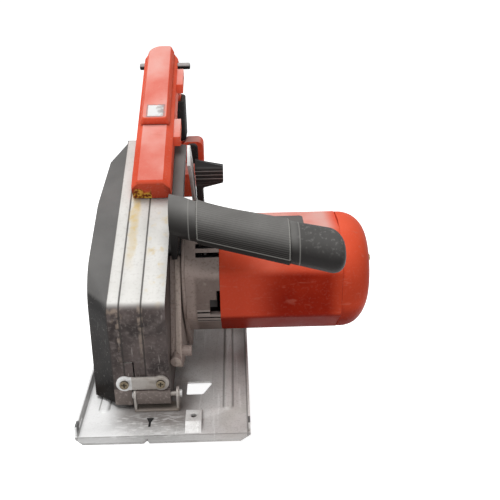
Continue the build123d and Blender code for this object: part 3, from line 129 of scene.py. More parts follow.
class Finish:
    """A material: a shader with its constant values, and the nodes that vary over the surface."""

    def __init__(self, name, constants):
        self.material = bpy.data.materials.new(name)
        self.material.use_nodes = True
        self.tree = self.material.node_tree
        self.shader = self.tree.nodes["Principled BSDF"]
        for socket, value in constants.items():
            self.shader.inputs[socket].default_value = value

    def add(self, kind, settings, sockets, output=0):
        made = self.tree.nodes.new(kind)
        for name, value in settings.items():
            setattr(made, name, value)
        for key, value in sockets.items():
            if isinstance(value, Shade):
                self.tree.links.new(value.socket, made.inputs[key])
            else:
                made.inputs[key].default_value = value
        return Shade(self, made.outputs[output])

    def feed(self, socket, shade):
        self.tree.links.new(shade.socket, self.shader.inputs[socket])

    def part(self, vector, axis):
        """One of a vector's three numbers."""
        return self.add("ShaderNodeSeparateXYZ", {}, {0: vector}, "XYZ".index(axis))

    def place(self, axis=None):
        """Where a point is at rest, in metres, or one of its three numbers."""
        whole = self.add("ShaderNodeTexCoord", {}, {}, "Object")
        return whole if axis is None else self.part(whole, axis)

    def facing(self, axis):
        """How far the surface at rest faces along one axis."""
        return self.part(self.add("ShaderNodeTexCoord", {}, {}, "Normal"), axis)

    def noise(self, per_metre, detail, stretch=(1.0, 1.0, 1.0)):
        """Uneven patches, drawn out along the axes where stretch is low."""
        where = self.add("ShaderNodeMapping", {}, {"Vector": self.place(), "Scale": stretch})
        sockets = {"Vector": where, "Scale": per_metre, "Detail": detail}
        return self.add("ShaderNodeTexNoise", {}, sockets)

    def step(self, value, low, high):
        """0 below low, 1 above high and smooth between them."""
        sockets = {0: value, 1: low, 2: high}
        return self.add("ShaderNodeMapRange", {"interpolation_type": "SMOOTHSTEP"}, sockets)

    def near(self, value, middle, half, soft):
        """1 within a distance of a middle value and 0 a little further off."""
        return 1.0 - self.step(abs(value - middle), half, half + soft)

    def mix(self, share, first, second):
        """The first colour where share is 0 and the second where it is 1."""
        sockets = {0: share}
        for number, colour in ((6, first), (7, second)):
            sockets[number] = colour if isinstance(colour, Shade) else (*colour, 1.0)
        return self.add("ShaderNodeMix", {"data_type": "RGBA"}, sockets, 2)

    def bump(self, height, depth, strength):
        """Roughens the surface by a height that varies over it, in parts of a depth in metres."""
        sockets = {"Strength": strength, "Distance": depth, "Height": height}
        self.feed("Normal", self.add("ShaderNodeBump", {}, sockets))


world = bpy.data.worlds.new("room")
scene.world = world
world.use_nodes = True
room = world.node_tree
path = room.nodes.new("ShaderNodeLightPath")
level = room.nodes.new("ShaderNodeMapRange")
room_light, white_light = 0.30, 1.0
level.inputs["To Min"].default_value = room_light
level.inputs["To Max"].default_value = white_light
seen = path.outputs["Is Camera Ray"]
for ray in ("Is Glossy Ray", "Is Transmission Ray"):
    either = room.nodes.new("ShaderNodeMath")
    either.operation = "MAXIMUM"
    room.links.new(seen, either.inputs[0])
    room.links.new(path.outputs[ray], either.inputs[1])
    seen = either.outputs[0]
room.links.new(seen, level.inputs["Value"])
room.nodes["Background"].inputs["Color"].default_value = (1.0, 1.0, 1.0, 1.0)
room.links.new(level.outputs[0], room.nodes["Background"].inputs["Strength"])

floor_mesh = bpy.data.meshes.new("floor")
reach = 6.0
corners = [(-reach, -reach), (reach, -reach), (reach, reach), (-reach, reach)]
floor_mesh.from_pydata([(x, y, cad_low.z) for x, y in corners], [], [(0, 1, 2, 3)])
floor = bpy.data.objects.new("floor", floor_mesh)
scene.collection.objects.link(floor)
white = Finish("white_floor", {"Base Color": (0.9, 0.9, 0.9, 1.0), "Roughness": 0.9,
                               "Emission Strength": 1.0})
seen = white.add("ShaderNodeLightPath", {}, {}, "Is Camera Ray")
for ray in ("Is Glossy Ray", "Is Transmission Ray"):
    seen = seen | white.add("ShaderNodeLightPath", {}, {}, ray)
white.feed("Emission Color", white.mix(seen, (0.0, 0.0, 0.0), (0.78, 0.78, 0.78)))
floor_mesh.materials.append(white.material)

# Shoe, pivot bracket and quadrant: pressed from sheet steel and zinc plated, now scratched
# along the way the saw is pushed and stained in patches. Light is painted into the colour: the
# left side lighter, the right darker and reddish under the motor, shade in the creases, slots,
# sight mark, front lip and round the bracket's foot, and a sparkle near the front.
bodies = frame["record"]["behaviour"]["bodies"]
body_of = {node: body for body, group in bodies.items() for node in group}


def rounded(shape, width, segments=2, sharp_angle=28.0, seam_x=None):
    """Rounds the sharp edges of a mesh, but not those in a seam."""
    bmesh.ops.remove_doubles(shape, verts=shape.verts, dist=1e-6)
    bmesh.ops.dissolve_limit(shape, angle_limit=radians(0.8), verts=shape.verts, edges=shape.edges)
    sharp = [edge for edge in shape.edges
             if len(edge.link_faces) == 2 and edge.calc_face_angle() > radians(sharp_angle)]
    if seam_x is not None:
        sharp = [edge for edge in sharp if max(abs(v.co.x - seam_x) for v in edge.verts) > 0.0001]
    bmesh.ops.bevel(shape, geom=sharp, offset=width, segments=segments, profile=0.5, affect="EDGES",
                    clamp_overlap=True)
    return shape


def copy_of(node):
    """A mesh like a solid's, to be changed."""
    shape = bmesh.new()
    shape.from_mesh(frame["nodes"][node].data)
    return shape


def softened(node, finish, width, segments=2, sharp_angle=28.0, seam_x=None):
    """Stands a copy of a solid with rounded edges in its place."""
    stand_for(node, rounded(copy_of(node), width, segments, sharp_angle, seam_x), finish)


def stand_for(node, shape, finish):
    """Makes a piece from a finished mesh and puts it in place of a solid."""
    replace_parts(piece_from(node + "_skin", shape, finish, body_of[node]), node)


def piece_from(name, shape, finish, body):
    """Makes a smooth piece that rides on a body."""
    mesh = bpy.data.meshes.new(name)
    shape.to_mesh(mesh)
    shape.free()
    mesh.polygons.foreach_set("use_smooth", [True] * len(mesh.polygons))
    mesh.set_sharp_from_angle(angle=radians(32.0))
    mesh.materials.append(finish.material)
    piece = bpy.data.objects.new(name, mesh)
    scene.collection.objects.link(piece)
    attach(piece, body)
    return piece


def coated(finish, *names):
    """Gives solids whose shape is right a finish."""
    for name in names:
        for place in frame["nodes"][name].material_slots:
            place.material = finish.material


zinc = Finish("zinc_sheet", {"Specular IOR Level": 0.25})
across, along, height = zinc.place("X"), zinc.place("Y"), zinc.place("Z")
spangle = zinc.noise(70.0, 5.0)
scratches = zinc.step(zinc.noise(300.0, 2.0, (1.0, 0.05, 1.0)), 0.60, 0.70)
# painted light: the plate's left side lighter, where it catches more light
lit_left_side = 1.0 - zinc.step(across + zinc.noise(20.0, 4.0) * 0.03, -0.03, 0.01)
# painted shade and reddish reflected light: the right side darker and reddish under the motor
shade_under_motor = zinc.step(across + zinc.noise(20.0, 4.0) * 0.06, 0.04, 0.10)
stain = zinc.step(zinc.noise(26.0, 5.0), 0.54, 0.72)
# patchy grime, and painted shade: faces that don't face up darker
grime_and_side_shade = zinc.step(zinc.noise(140.0, 5.0), 0.44, 0.74) * zinc.step(zinc.facing("Z") * -1.0, -0.5, -0.1)
# painted shade: the recess of the pressed sight mark filled near black
pressed = zinc.near(height, 0.0008, 0.0003, 0.0002) * zinc.near(across, -0.012, 0.005, 0.001)
specks = zinc.step(zinc.noise(650.0, 4.0), 0.50, 0.70)
tone = zinc.mix(spangle, (0.46, 0.455, 0.445), (0.78, 0.775, 0.765))
tone = zinc.mix(lit_left_side * 0.9, tone, (0.97, 0.97, 0.965))
tone = zinc.mix(shade_under_motor * (0.1 + spangle * 0.4), tone, (0.60, 0.52, 0.49))
tone = zinc.mix(scratches * 0.35, tone, (0.92, 0.92, 0.91))
tone = zinc.mix(stain * (0.4 - lit_left_side * 0.25), tone, (0.42, 0.39, 0.35))
tone = zinc.mix(specks * (0.3 - lit_left_side * 0.2), tone, (0.30, 0.27, 0.25))
tone = zinc.mix(grime_and_side_shade * 0.4, tone, (0.26, 0.22, 0.19))
# painted shade round the foot of the pivot bracket, under the saw
foot_shade = zinc.near(along + zinc.noise(45.0, 4.0) * 0.02, 0.012, 0.016, 0.022)
foot_shade = foot_shade * zinc.near(across, -0.008, 0.022, 0.022)
tone = zinc.mix(foot_shade * 0.75 * (1.0 - zinc.step(height, 0.0045, 0.006)), tone, (0.15, 0.125, 0.115))
# painted shade on the front lip, less towards its right
lip_shade = zinc.step(along * -1.0, 0.0355, 0.0368) * (1.0 - zinc.step(across, -0.01, 0.06) * 0.6)
tone = zinc.mix(lip_shade * 0.6, tone, (0.26, 0.255, 0.25))
bead_x, bead_half, flange_x, lip_y = 0.052, 0.0042, 0.0678, -0.0362
# painted shade in the creases along the beads, the flanges and the lip's fold
crease_shade = zinc.near(abs(abs(across) - bead_x), bead_half, 0.0004, 0.0006) * zinc.step(along, -0.004, 0.0)
crease_shade = crease_shade | zinc.near(abs(across), flange_x, 0.0004, 0.0005)
crease_shade = crease_shade | zinc.near(along, lip_y, 0.0003, 0.0005)
tone = zinc.mix(crease_shade * 0.55, tone, (0.10, 0.09, 0.085))
# painted shade in the fence slots of the flanges
slot_shade = zinc.step(abs(across), 0.0655, 0.0668) * zinc.near(along, -0.029, 0.0035, 0.001)
tone = zinc.mix(slot_shade * zinc.step(height, 0.003, 0.004) * 0.85, tone, (0.03, 0.03, 0.03))
bracket = zinc.near(across, -0.0072, 0.019, 0.001) * zinc.near(along, 0.0, 0.0065, 0.0005)
bracket = bracket * zinc.step(height, 0.0022, 0.003) * (0.35 + spangle * 0.5)
tone = zinc.mix(bracket, tone, (0.30, 0.245, 0.20))
# painted highlight: a patchy sparkle near the front of the plate
painted_sparkle = zinc.near(across, -0.02, 0.02, 0.03) * zinc.near(along, -0.024, 0.008, 0.012)
painted_sparkle = painted_sparkle * zinc.step(zinc.noise(420.0, 6.0, (0.35, 1.0, 1.0)), 0.48, 0.66)
tone = zinc.mix(painted_sparkle * 0.45, tone, (0.98, 0.98, 0.975))
zinc.feed("Base Color", zinc.mix(pressed, tone, (0.02, 0.02, 0.02)))
zinc.feed("Metallic", 0.22 - grime_and_side_shade * 0.12 - lit_left_side * 0.1)
zinc.feed("Roughness", 0.36 + spangle * 0.2 + stain * 0.15)
zinc.bump(scratches, 0.0001, 0.3)
for node in ("shoe", "pivot_bracket", "quadrant", "guard_strap"):
    softened(node, zinc, 0.0005)
coated(zinc, "pivot_pin")

# Guard castings: aluminium, with ochre stains where oil has run down from the handle, grime
# marks on the front and pale along the worn seams. Light is painted into the colour: the tops
# lighter, and the front, the right side and the pivot lug darker as shade.
cast = Finish("cast_aluminium", {"Specular IOR Level": 0.2})
across, along, height = cast.place("X"), cast.place("Y"), cast.place("Z")
grain = cast.noise(900.0, 2.0)
cloud = cast.noise(34.0, 6.0)
patches = cast.step(cast.noise(95.0, 5.0), 0.50, 0.68)
upward = cast.step(cast.facing("Z"), 0.35, 0.80)
front = cast.step(cast.facing("Y") * -1.0, 0.45, 0.90)
seams = cast.near(across, -0.0145, 0.0005, 0.0005)
for seam_x in (-0.032, -0.042):
    seams = seams | cast.near(across, seam_x, 0.0005, 0.0005)
rubbed = cast.near(across, -0.0155, 0.0016, 0.001) | cast.near(across, -0.0335, 0.0012, 0.001)
rubbed = rubbed | (cast.near(height, 0.094, 0.004, 0.006) * cast.near(across, -0.036, 0.005, 0.003))
rubbed = rubbed * cast.step(cast.noise(150.0, 5.0), 0.42, 0.62) * cast.step(height, 0.035, 0.085)
oil = cast.near(across + cast.noise(90.0, 4.0) * 0.008, -0.0228, 0.0014, 0.0040)
oil = oil * cast.step(along, 0.030, 0.075) * (0.5 + cast.step(cast.noise(120.0, 5.0), 0.40, 0.62) * 0.5)
blots = cast.step(cast.noise(85.0, 4.0), 0.52, 0.66) * cast.near(across, -0.005, 0.004, 0.006)
oil = (oil | (blots * cast.near(along, 0.055, 0.03, 0.03) * 0.7)) * upward
tone = cast.mix(cloud, (0.24, 0.235, 0.225), (0.40, 0.39, 0.375))
# painted light: faces turned up get a lighter copy of the tone
tone = cast.mix(upward, tone, cast.mix(cloud, (0.46, 0.45, 0.425), (0.72, 0.71, 0.685)))
specks = cast.step(cast.noise(420.0, 5.0), 0.50, 0.72)
# painted shade: the front gets a much darker copy of the tone, with grime marks in it
grime_and_front_shade = cast.mix(cast.step(cloud, 0.32, 0.68), (0.022, 0.016, 0.015), (0.112, 0.088, 0.083))
grime_and_front_shade = cast.mix(patches * 0.45, grime_and_front_shade, (0.165, 0.135, 0.128))
grime_and_front_shade = cast.mix(specks * 0.45, grime_and_front_shade, (0.19, 0.165, 0.155))
marks = cast.step(cast.noise(520.0, 3.0, (1.0, 1.0, 0.12)), 0.66, 0.74)
grime_and_front_shade = cast.mix(marks * 0.6, grime_and_front_shade, (0.36, 0.32, 0.30))
tone = cast.mix(specks * 0.3, tone, (0.40, 0.385, 0.355))
tone = cast.mix(front, tone, grime_and_front_shade)
tone = cast.mix(rubbed * front * 0.7, tone, (0.33, 0.26, 0.21))
# painted shade: faces turned to the right much darker
tone = cast.mix(cast.step(cast.facing("X"), 0.5, 0.9), tone, (0.075, 0.058, 0.052))
# painted shade: the pivot lug in one darker tone
lug = (1.0 - cast.step(height, 0.0218, 0.0225)) * (1.0 - cast.step(along, 0.0, 0.0015))
tone = cast.mix(lug, tone, cast.mix(specks, (0.20, 0.165, 0.15), (0.34, 0.29, 0.265)))
tone = cast.mix(seams * (1.0 - lug) * 0.8, tone, (0.035, 0.030, 0.028))
cast.feed("Base Color", cast.mix(oil * 0.75, tone, (0.66, 0.48, 0.17)))
cast.feed("Metallic", 0.25 - oil * 0.2 - front * 0.1)
cast.feed("Roughness", 0.42 + cloud * 0.2 + oil * 0.1)
cast.bump(grain, 0.00012, 0.5)
for node in ("upper_guard", "chamber_frame", "chamber_rim"):
    softened(node, cast, 0.0012)

# Chip cover: a dark lid moulded from textured plastic, greyed by dust on its upper side and
# rubbed along its fold. Its upper side and all of it above the fold are also painted lighter as lit.
cover = Finish("cover_plastic", {"Specular IOR Level": 0.08})
grain = cover.noise(1400.0, 2.0)
cloud = cover.noise(34.0, 6.0)
rubs = cover.step(cover.noise(260.0, 4.0, (1.0, 0.4, 0.4)), 0.62, 0.74)
nicks = cover.step(cover.noise(480.0, 4.0), 0.60, 0.74)
# painted light: the cover above its fold lighter, as lit from above
lit_above_fold = cover.step(cover.place("Z"), 0.0955, 0.1005) * (1.0 - cover.step(cover.place("Y"), 0.028, 0.075))
# dust on faces turned up, and painted light there
dust_and_light = (cover.step(cover.facing("Z"), 0.15, 0.75) | lit_above_fold) * (0.60 + cloud * 0.55)
tone = cover.mix(cover.step(cloud, 0.3, 0.7), (0.005, 0.004, 0.004), (0.022, 0.018, 0.016))
tone = cover.mix(dust_and_light, tone, (0.190, 0.186, 0.181))
side = cover.step(cover.facing("X") * -1.0, 0.80, 0.97)
tone = cover.mix(side * 0.7, tone, (0.052, 0.050, 0.048))
tone = cover.mix(nicks * (0.45 - side * 0.3), tone, (0.20, 0.19, 0.18))
cover.feed("Base Color", cover.mix(rubs * 0.25, tone, (0.15, 0.145, 0.135)))
cover.feed("Roughness", 0.48 + dust_and_light * 0.25)
cover.bump(grain, 0.0001, 0.5)
softened("chip_cover", cover, 0.0025, 3, 20.0)

# Blade side: hardened steel blade with ground flanges, and the lower guard, which closes over
# the teeth below the shoe.
steel = Finish("ground_steel", {"Metallic": 0.9})
brushed = steel.noise(420.0, 3.0, (0.1, 1.0, 1.0))
steel.feed("Base Color", steel.mix(brushed, (0.19, 0.19, 0.195), (0.36, 0.36, 0.365)))
steel.feed("Roughness", 0.26 + brushed * 0.22)
steel.bump(brushed, 0.00008, 0.4)
coated(steel, "blade", "inner_flange", "outer_flange", "blade_bolt", "spindle", "spindle_bearings",
       "output_gear", "layshaft", "armature_shaft", "armature_bearings", "guard_spring")
softened("lower_guard", steel, 0.0004)

# Screws, rivets and the depth nut: turned from steel and passivated yellow. The two screws of
# the guard's strap are soiled, with painted shade in the recesses of their heads.
yellow = Finish("yellow_zinc", {"Metallic": 0.9})
bloom = yellow.noise(300.0, 4.0)
yellow.feed("Base Color", yellow.mix(bloom, (0.30, 0.21, 0.09), (0.62, 0.49, 0.26)))
yellow.feed("Roughness", 0.30 + bloom * 0.25)
coated(yellow, "depth_bolt", "quadrant_rivets")
for node in ("handle_screws", "end_screws", "depth_nut"):
    softened(node, yellow, 0.0006)
soiled = Finish("soiled_zinc", {"Metallic": 0.5})
bloom = soiled.noise(500.0, 4.0)
head_y, recess_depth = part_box("strap_screws")[0][1], 0.0011
# painted shade in the recesses of the screw heads
recess_shade = soiled.near(soiled.place("Y"), head_y + recess_depth, 0.0006, 0.0002)
tone = soiled.mix(bloom, (0.085, 0.060, 0.032), (0.34, 0.28, 0.19))
soiled.feed("Base Color", soiled.mix(recess_shade * 0.85, tone, (0.012, 0.010, 0.008)))
soiled.feed("Roughness", 0.35 + bloom * 0.25)
softened("strap_screws", soiled, 0.0006)

# Gear case, gear plate and fan housing: grey castings bolted up between guard and motor,
# brown with old grease low down. Light is painted in: faces turned up and the parts that the
# front handle shades lighter, and shade in the vents.
grey = Finish("grey_casting", {"Specular IOR Level": 0.1})
grain = grey.noise(1000.0, 2.0)
cloud = grey.noise(40.0, 6.0)
worn = grey.step(grey.noise(130.0, 5.0), 0.58, 0.72)
upward = grey.step(grey.facing("Z"), 0.2, 0.7)
across, height = grey.place("X"), grey.place("Z")
rim = grey.near(across, 0.01125, 0.0022, 0.0004) * (1.0 - grey.step(grey.facing("Y"), -0.6, -0.1))
specks = grey.step(grey.noise(480.0, 4.0), 0.50, 0.70)
tone = grey.mix(cloud, (0.125, 0.090, 0.078), (0.250, 0.196, 0.174))
# painted light: faces turned up lighter
tone = grey.mix(upward * 0.5, tone, (0.34, 0.29, 0.265))
# painted light on the parts that the front handle shades
painted_light_zone = (1.0 - grey.step(across, 0.024, 0.028)) | grey.step(height, 0.096, 0.103)
tone = grey.mix(painted_light_zone * 0.6, tone, (0.42, 0.335, 0.30))
tone = grey.mix(rim * 0.75, tone, (0.48, 0.395, 0.345))
tone = grey.mix(specks * 0.35, tone, (0.10, 0.075, 0.066))
motor_z = (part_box("fan_housing")[0][2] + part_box("fan_housing")[1][2]) / 2.0
pale = grey.near(height, motor_z - 0.0205, 0.0075, 0.0006) * grey.step(across, 0.0268, 0.0272)
tone = grey.mix(pale * 0.6, tone, (0.36, 0.31, 0.285))
vent_half, slit_half = 0.00152, 0.00068
# painted shade in the vents and slits
vent_shade = grey.near(height, motor_z + 0.0337, vent_half, 0.0001)
vent_shade = vent_shade | grey.near(height, motor_z + 0.0395, vent_half, 0.0001)
for drop in (0.01535, 0.02085, 0.02615):
    vent_shade = vent_shade | grey.near(height, motor_z - drop, slit_half, 0.0001)
tone = grey.mix(vent_shade * grey.step(across, 0.0268, 0.0271), tone, (0.004, 0.004, 0.004))
grey.feed("Base Color", grey.mix(worn * 0.35, tone, (0.36, 0.31, 0.28)))
grey.feed("Metallic", 0.1 + worn * 0.2)
grey.feed("Roughness", 0.45 + cloud * 0.2)
grey.bump(grain, 0.0001, 0.5)
for node in ("gear_case", "gear_plate", "fan_housing", "spindle_lock"):
    softened(node, grey, 0.0008)
coated(grey, "motor_plate")

# Motor housing and end cap: moulded red plastic, the same as the main handle's, paler and dusty
# on top and scuffed along its length. Light is painted into the colour: the flat top, sloping
# faces, the motor's left end, the main handle and a band on the end cap lighter, and faces turned
# down dark as shade. The housing's top is flattened, and the cap is drawn down to meet the
# housing's lower side.
red = Finish("red_plastic", {"Specular IOR Level": 0.03})
across, along, height = red.place("X"), red.place("Y"), red.place("Z")
grain = red.noise(1300.0, 2.0)
cloud = red.step(red.noise(24.0, 6.0), 0.26, 0.80)
scuffs = red.step(red.noise(190.0, 3.0, (0.3, 1.0, 1.0)), 0.62, 0.74)
specks = red.step(red.noise(520.0, 4.0), 0.52, 0.72)
handle = 1.0 - red.step(across, 0.018, 0.022)
lit_slopes = red.step(red.facing("Z"), 0.05, 0.75)
dust_and_light_on_top = red.step(red.facing("Z"), 0.70, 0.97)
facing_front = red.step(red.facing("Y") * -1.0, 0.3, 0.8)
amber = red.step(red.noise(110.0, 5.0) + (0.156 - height) * 22.0, 0.42, 0.60) * facing_front
amber = amber * (1.0 - red.step(across, -0.0135, -0.0125)) * (1.0 - red.step(along, 0.118, 0.124))
tone = red.mix(cloud, (0.270, 0.011, 0.003), (0.420, 0.030, 0.010))
# painted light: the motor's left end lighter
tone = red.mix((1.0 - red.step(across, 0.070, 0.105)) * 0.8, tone, (0.74, 0.088, 0.042))
# painted light: the main handle lighter
tone = red.mix(handle * 0.85, tone, (0.92, 0.138, 0.070))
# painted light: sloping faces turned up get a lighter copy of the red
tone = red.mix(lit_slopes, tone, red.mix(cloud, (0.72, 0.080, 0.034), (0.88, 0.150, 0.085)))
dust_and_light_on_top = dust_and_light_on_top * (1.0 - red.step(across, 0.140, 0.154))
# dust and painted light on the flat top
tone = red.mix(dust_and_light_on_top * (0.35 + cloud * 0.75), tone, (0.82, 0.45, 0.40))
# painted light: a lighter band on the end cap
tone = red.mix(red.near(across, 0.162, 0.010, 0.014) * 0.45, tone, (0.86, 0.11, 0.045))
tone = red.mix(scuffs * 0.25, tone, (0.66, 0.20, 0.14))
# painted shade: faces turned down dark
tone = red.mix(red.step(red.facing("Z") * -1.0, 0.2, 0.6) * 0.85, tone, (0.16, 0.006, 0.002))
tone = red.mix(specks * (0.05 + handle * 0.10), tone, (0.74, 0.40, 0.34))
gold = red.mix(red.step(red.noise(330.0, 5.0), 0.42, 0.60), (0.15, 0.035, 0.010), (0.80, 0.48, 0.07))
red.feed("Base Color", red.mix(amber * 0.9, tone, gold))
red.feed("Roughness", 0.40 + cloud * 0.2 + scuffs * 0.15)
red.bump(grain, 0.00008, 0.5)
motor_low, motor_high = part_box("motor_housing")
flat_drop, flat_depth = 0.0026, 0.030
cap_drop, drop_from, drop_full = 0.0023, 0.025, 0.040


def limited(share):
    """A share held between 0 and 1."""
    return min(1.0, max(0.0, share))


barrel, cap = copy_of("motor_housing"), copy_of("end_cap")
for vert in barrel.verts:
    vert.co.z -= flat_drop * max(0.0, 1.0 - (motor_high[2] - vert.co.z) / flat_depth)
for vert in cap.verts:
    below = motor_z - vert.co.z
    vert.co.z -= cap_drop * limited((below - drop_from) / (drop_full - drop_from))
stand_for("motor_housing", rounded(barrel, 0.0006), red)
stand_for("end_cap", rounded(cap, 0.0006), red)

# Rating plate: a bare dark foil with round corners, stuck on the flat top of the motor housing
# and rubbed along it.
foil = Finish("dark_foil", {"Specular IOR Level": 0.2})
rubbed = foil.noise(160.0, 5.0, (0.4, 1.0, 1.0))
foil.feed("Base Color", foil.mix(rubbed, (0.055, 0.050, 0.048), (0.17, 0.16, 0.15)))
foil.feed("Roughness", 0.35 + rubbed * 0.3)


def between(first_ring, second_ring):
    """A solid between two outlines with as many points each."""
    shape = bmesh.new()
    first = [shape.verts.new(point) for point in first_ring]
    second = [shape.verts.new(point) for point in second_ring]
    shape.faces.new(first)
    shape.faces.new(second)
    for number in range(len(first)):
        shape.faces.new((first[number - 1], first[number], second[number], second[number - 1]))
    bmesh.ops.recalc_face_normals(shape, faces=shape.faces)
    return shape


def plate(name, corners, thickness, round_by, finish, body):
    """A thin sheet with rounded corners on a flat place, given as four corners in turn."""
    points = [Vector(corner) for corner in corners]
    up = (points[1] - points[0]).cross(points[3] - points[0]).normalized()
    outline = []
    for number, point in enumerate(points):
        back = (points[number - 1] - point).normalized() * round_by
        ahead = (points[(number + 1) % 4] - point).normalized() * round_by
        for turn in range(7):
            share = turn / 6.0 * pi / 2.0
            outline.append(point + back * (1.0 - sin(share)) + ahead * (1.0 - cos(share)))
    shape = between(outline, [point + up * thickness for point in outline])
    return piece_from(name, shape, finish, body)


bedded = 0.0002
foil_z = motor_high[2] - flat_drop - bedded
foil_left, foil_right, foil_front, foil_length = 0.062, 0.122, motor_low[1] + 0.034, 0.026
foil_rear = foil_front + foil_length
plate("rating_plate", [(foil_left, foil_front, foil_z), (foil_right, foil_front, foil_z),
                       (foil_right, foil_rear, foil_z), (foil_left, foil_rear, foil_z)],
      0.0005, 0.003, foil, "saw")

# Inside the motor: cores stacked from thin sheets, varnished copper windings, and plain bronze
# bearings and brush holders, all closed in by the housing and the end cap.
core = Finish("laminated_core", {"Metallic": 0.6})
layers = core.noise(2200.0, 1.0, (1.0, 0.02, 0.02))
core.feed("Base Color", core.mix(layers, (0.14, 0.14, 0.15), (0.34, 0.34, 0.35)))
core.feed("Roughness", 0.4 + layers * 0.2)
core.bump(layers, 0.0002, 0.6)
coated(core, "armature_core", "field_core")
copper = Finish("varnished_copper", {"Metallic": 0.8})
turns = copper.noise(900.0, 2.0, (1.0, 0.1, 0.1))
copper.feed("Base Color", copper.mix(turns, (0.32, 0.10, 0.04), (0.66, 0.28, 0.13)))
copper.feed("Roughness", 0.25 + turns * 0.2)
copper.bump(turns, 0.0003, 0.6)
coated(copper, "field_coils", "commutator")
bronze = Finish("plain_bronze", {"Metallic": 0.9})
patina = bronze.noise(200.0, 4.0)
bronze.feed("Base Color", bronze.mix(patina, (0.36, 0.22, 0.08), (0.62, 0.43, 0.18)))
bronze.feed("Roughness", 0.3 + patina * 0.2)
coated(bronze, "layshaft_bearings", "brush_holders")

# Front handle: moulded in hard black plastic, dusty and painted lighter on top as lit, with pale
# dust in the rings at both ends of its grip and painted shade on its neck beside the guard. Its top
# swells towards the root, and its rings lie along the saw.
handle_start = Vector((0.020, 0.053, 0.1495))
handle_line = (Vector((0.144, -0.005, 0.144)) - handle_start).normalized()
grip_side = handle_line.cross(Vector((0.0, 0.0, 1.0))).normalized()
grip_top = grip_side.cross(handle_line)
root_ring, far_ring = 0.0045, 0.0995
black = Finish("black_plastic", {"Specular IOR Level": 0.1})
grain = black.noise(1200.0, 2.0)
cloud = black.noise(40.0, 5.0)
specks = black.step(black.noise(330.0, 4.0), 0.52, 0.70)
outward = (black.place("X") - handle_start.x) * (1.0 / handle_line.x)
far_end = black.step(outward, 0.095, 0.101)
# dust on top, and painted light: faces turned up lighter
dust_and_light = black.step(black.facing("Z"), -0.1, 0.8) * (0.4 + cloud * 0.6)
tone = black.mix(dust_and_light, (0.020, 0.018, 0.017), (0.24, 0.235, 0.225))
tone = black.mix(far_end * (0.55 - specks * 0.5), tone, (0.026, 0.024, 0.024))
rings = black.near(outward, root_ring, 0.0003, 0.0004)
rings = rings | black.near(outward, far_ring, 0.0003, 0.0004)
tone = black.mix(rings * 0.45, tone, (0.34, 0.33, 0.31))
# painted shade: the neck low beside the guard nearly black
neck_shade = 1.0 - black.step(black.place("X"), 0.023, 0.026)
neck_shade = neck_shade * (1.0 - black.step(black.place("Z"), 0.128, 0.142))
black.feed("Base Color", black.mix(neck_shade * 0.9, tone, (0.010, 0.009, 0.009)))
black.feed("Roughness", 0.42 + dust_and_light * 0.35)
black.bump(grain, 0.0001, 0.5)
swell_length, swell_height, swell_cuts = 0.060, 0.0050, 10
wall_x, root_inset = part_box("front_handle")[0][0], 0.003
grip_radius, grip_reach = 0.016, 0.020


def swollen(node):
    """The mesh of a solid of the front handle, with its top raised and its rings along the saw."""
    shape = copy_of(node)
    for cut in range(1, swell_cuts):
        bmesh.ops.bisect_plane(shape, geom=[*shape.verts, *shape.edges, *shape.faces],
                               plane_co=handle_start + handle_line * (swell_length * cut / swell_cuts),
                               plane_no=handle_line)
    for vert in shape.verts:
        offset = vert.co - handle_start
        rise, run = offset.dot(grip_top), offset.dot(handle_line)
        aside = offset - handle_line * run
        if aside.length < grip_reach:
            swell = limited(1.0 - run / swell_length) ** 2.5
            ring_x = handle_start.x + root_ring * handle_line.x + aside.x
            slide = limited((vert.co.x - wall_x) / (ring_x - wall_x))
            vert.co += grip_top * (max(0.0, rise) / grip_radius) * swell_height * swell
            vert.co -= handle_line * (aside.x / handle_line.x) * slide
            vert.co.x = max(vert.co.x, wall_x + root_inset)
    return shape


stand_for("front_handle", rounded(swollen("front_handle"), 0.0015, 3), black)

# Foot of the front handle: a web on the guard's wall, moulded with the handle, that spreads from
# the grip's root to two toes on the rail under it. Fan, brushes and switch are as black.
web_thickness, web_radius = 0.0104, 0.017
toe_thickness, toe_radius = 0.0045, 0.004
root = handle_start - handle_line * ((handle_start.x - wall_x) / handle_line.x)
rail_start, rail_rise = Vector((0.0, -0.001, 0.0932)), tan(radians(22.8))
toes = [(root.y - 0.004, root_inset, toe_thickness), (root.y + 0.028, 0.0, web_thickness)]
foot_circles = [(root.y, root.z, web_radius, root_inset, web_thickness - root_inset)]
for toe_y, inset, thickness in toes:
    toe_z = rail_start.z + (toe_y - rail_start.y) * rail_rise
    foot_circles.append((toe_y, toe_z, toe_radius, inset, thickness))
web, web_steps = bmesh.new(), 32
for y, z, radius, inset, thickness in foot_circles:
    for step in range(web_steps):
        turn = 2.0 * pi * step / web_steps
        for x in (wall_x + inset, wall_x + inset + thickness):
            web.verts.new((x, y + radius * cos(turn), z + radius * sin(turn)))
inner = bmesh.ops.convex_hull(web, input=web.verts)["geom_interior"]
inner = [part for part in inner if isinstance(part, bmesh.types.BMVert)]
bmesh.ops.delete(web, geom=inner, context="VERTS")
piece_from("handle_foot", rounded(web, 0.0015, 3), black, "saw")
coated(black, "cooling_fan", "switch_box", "brushes")

# Grip of the front handle: a ribbed rubber sheet let into the handle's upper side, greyed by
# dust and painted lighter on top as lit, with a pale line of dust along the sheet's edge.


def reach_along(finish, direction):
    """How far a point is from the handle's start in one direction."""
    vector_math = "ShaderNodeVectorMath"
    offset = finish.add(vector_math, {"operation": "SUBTRACT"}, {0: finish.place(), 1: handle_start})
    return finish.add(vector_math, {"operation": "DOT_PRODUCT"}, {0: offset, 1: direction}, 1)


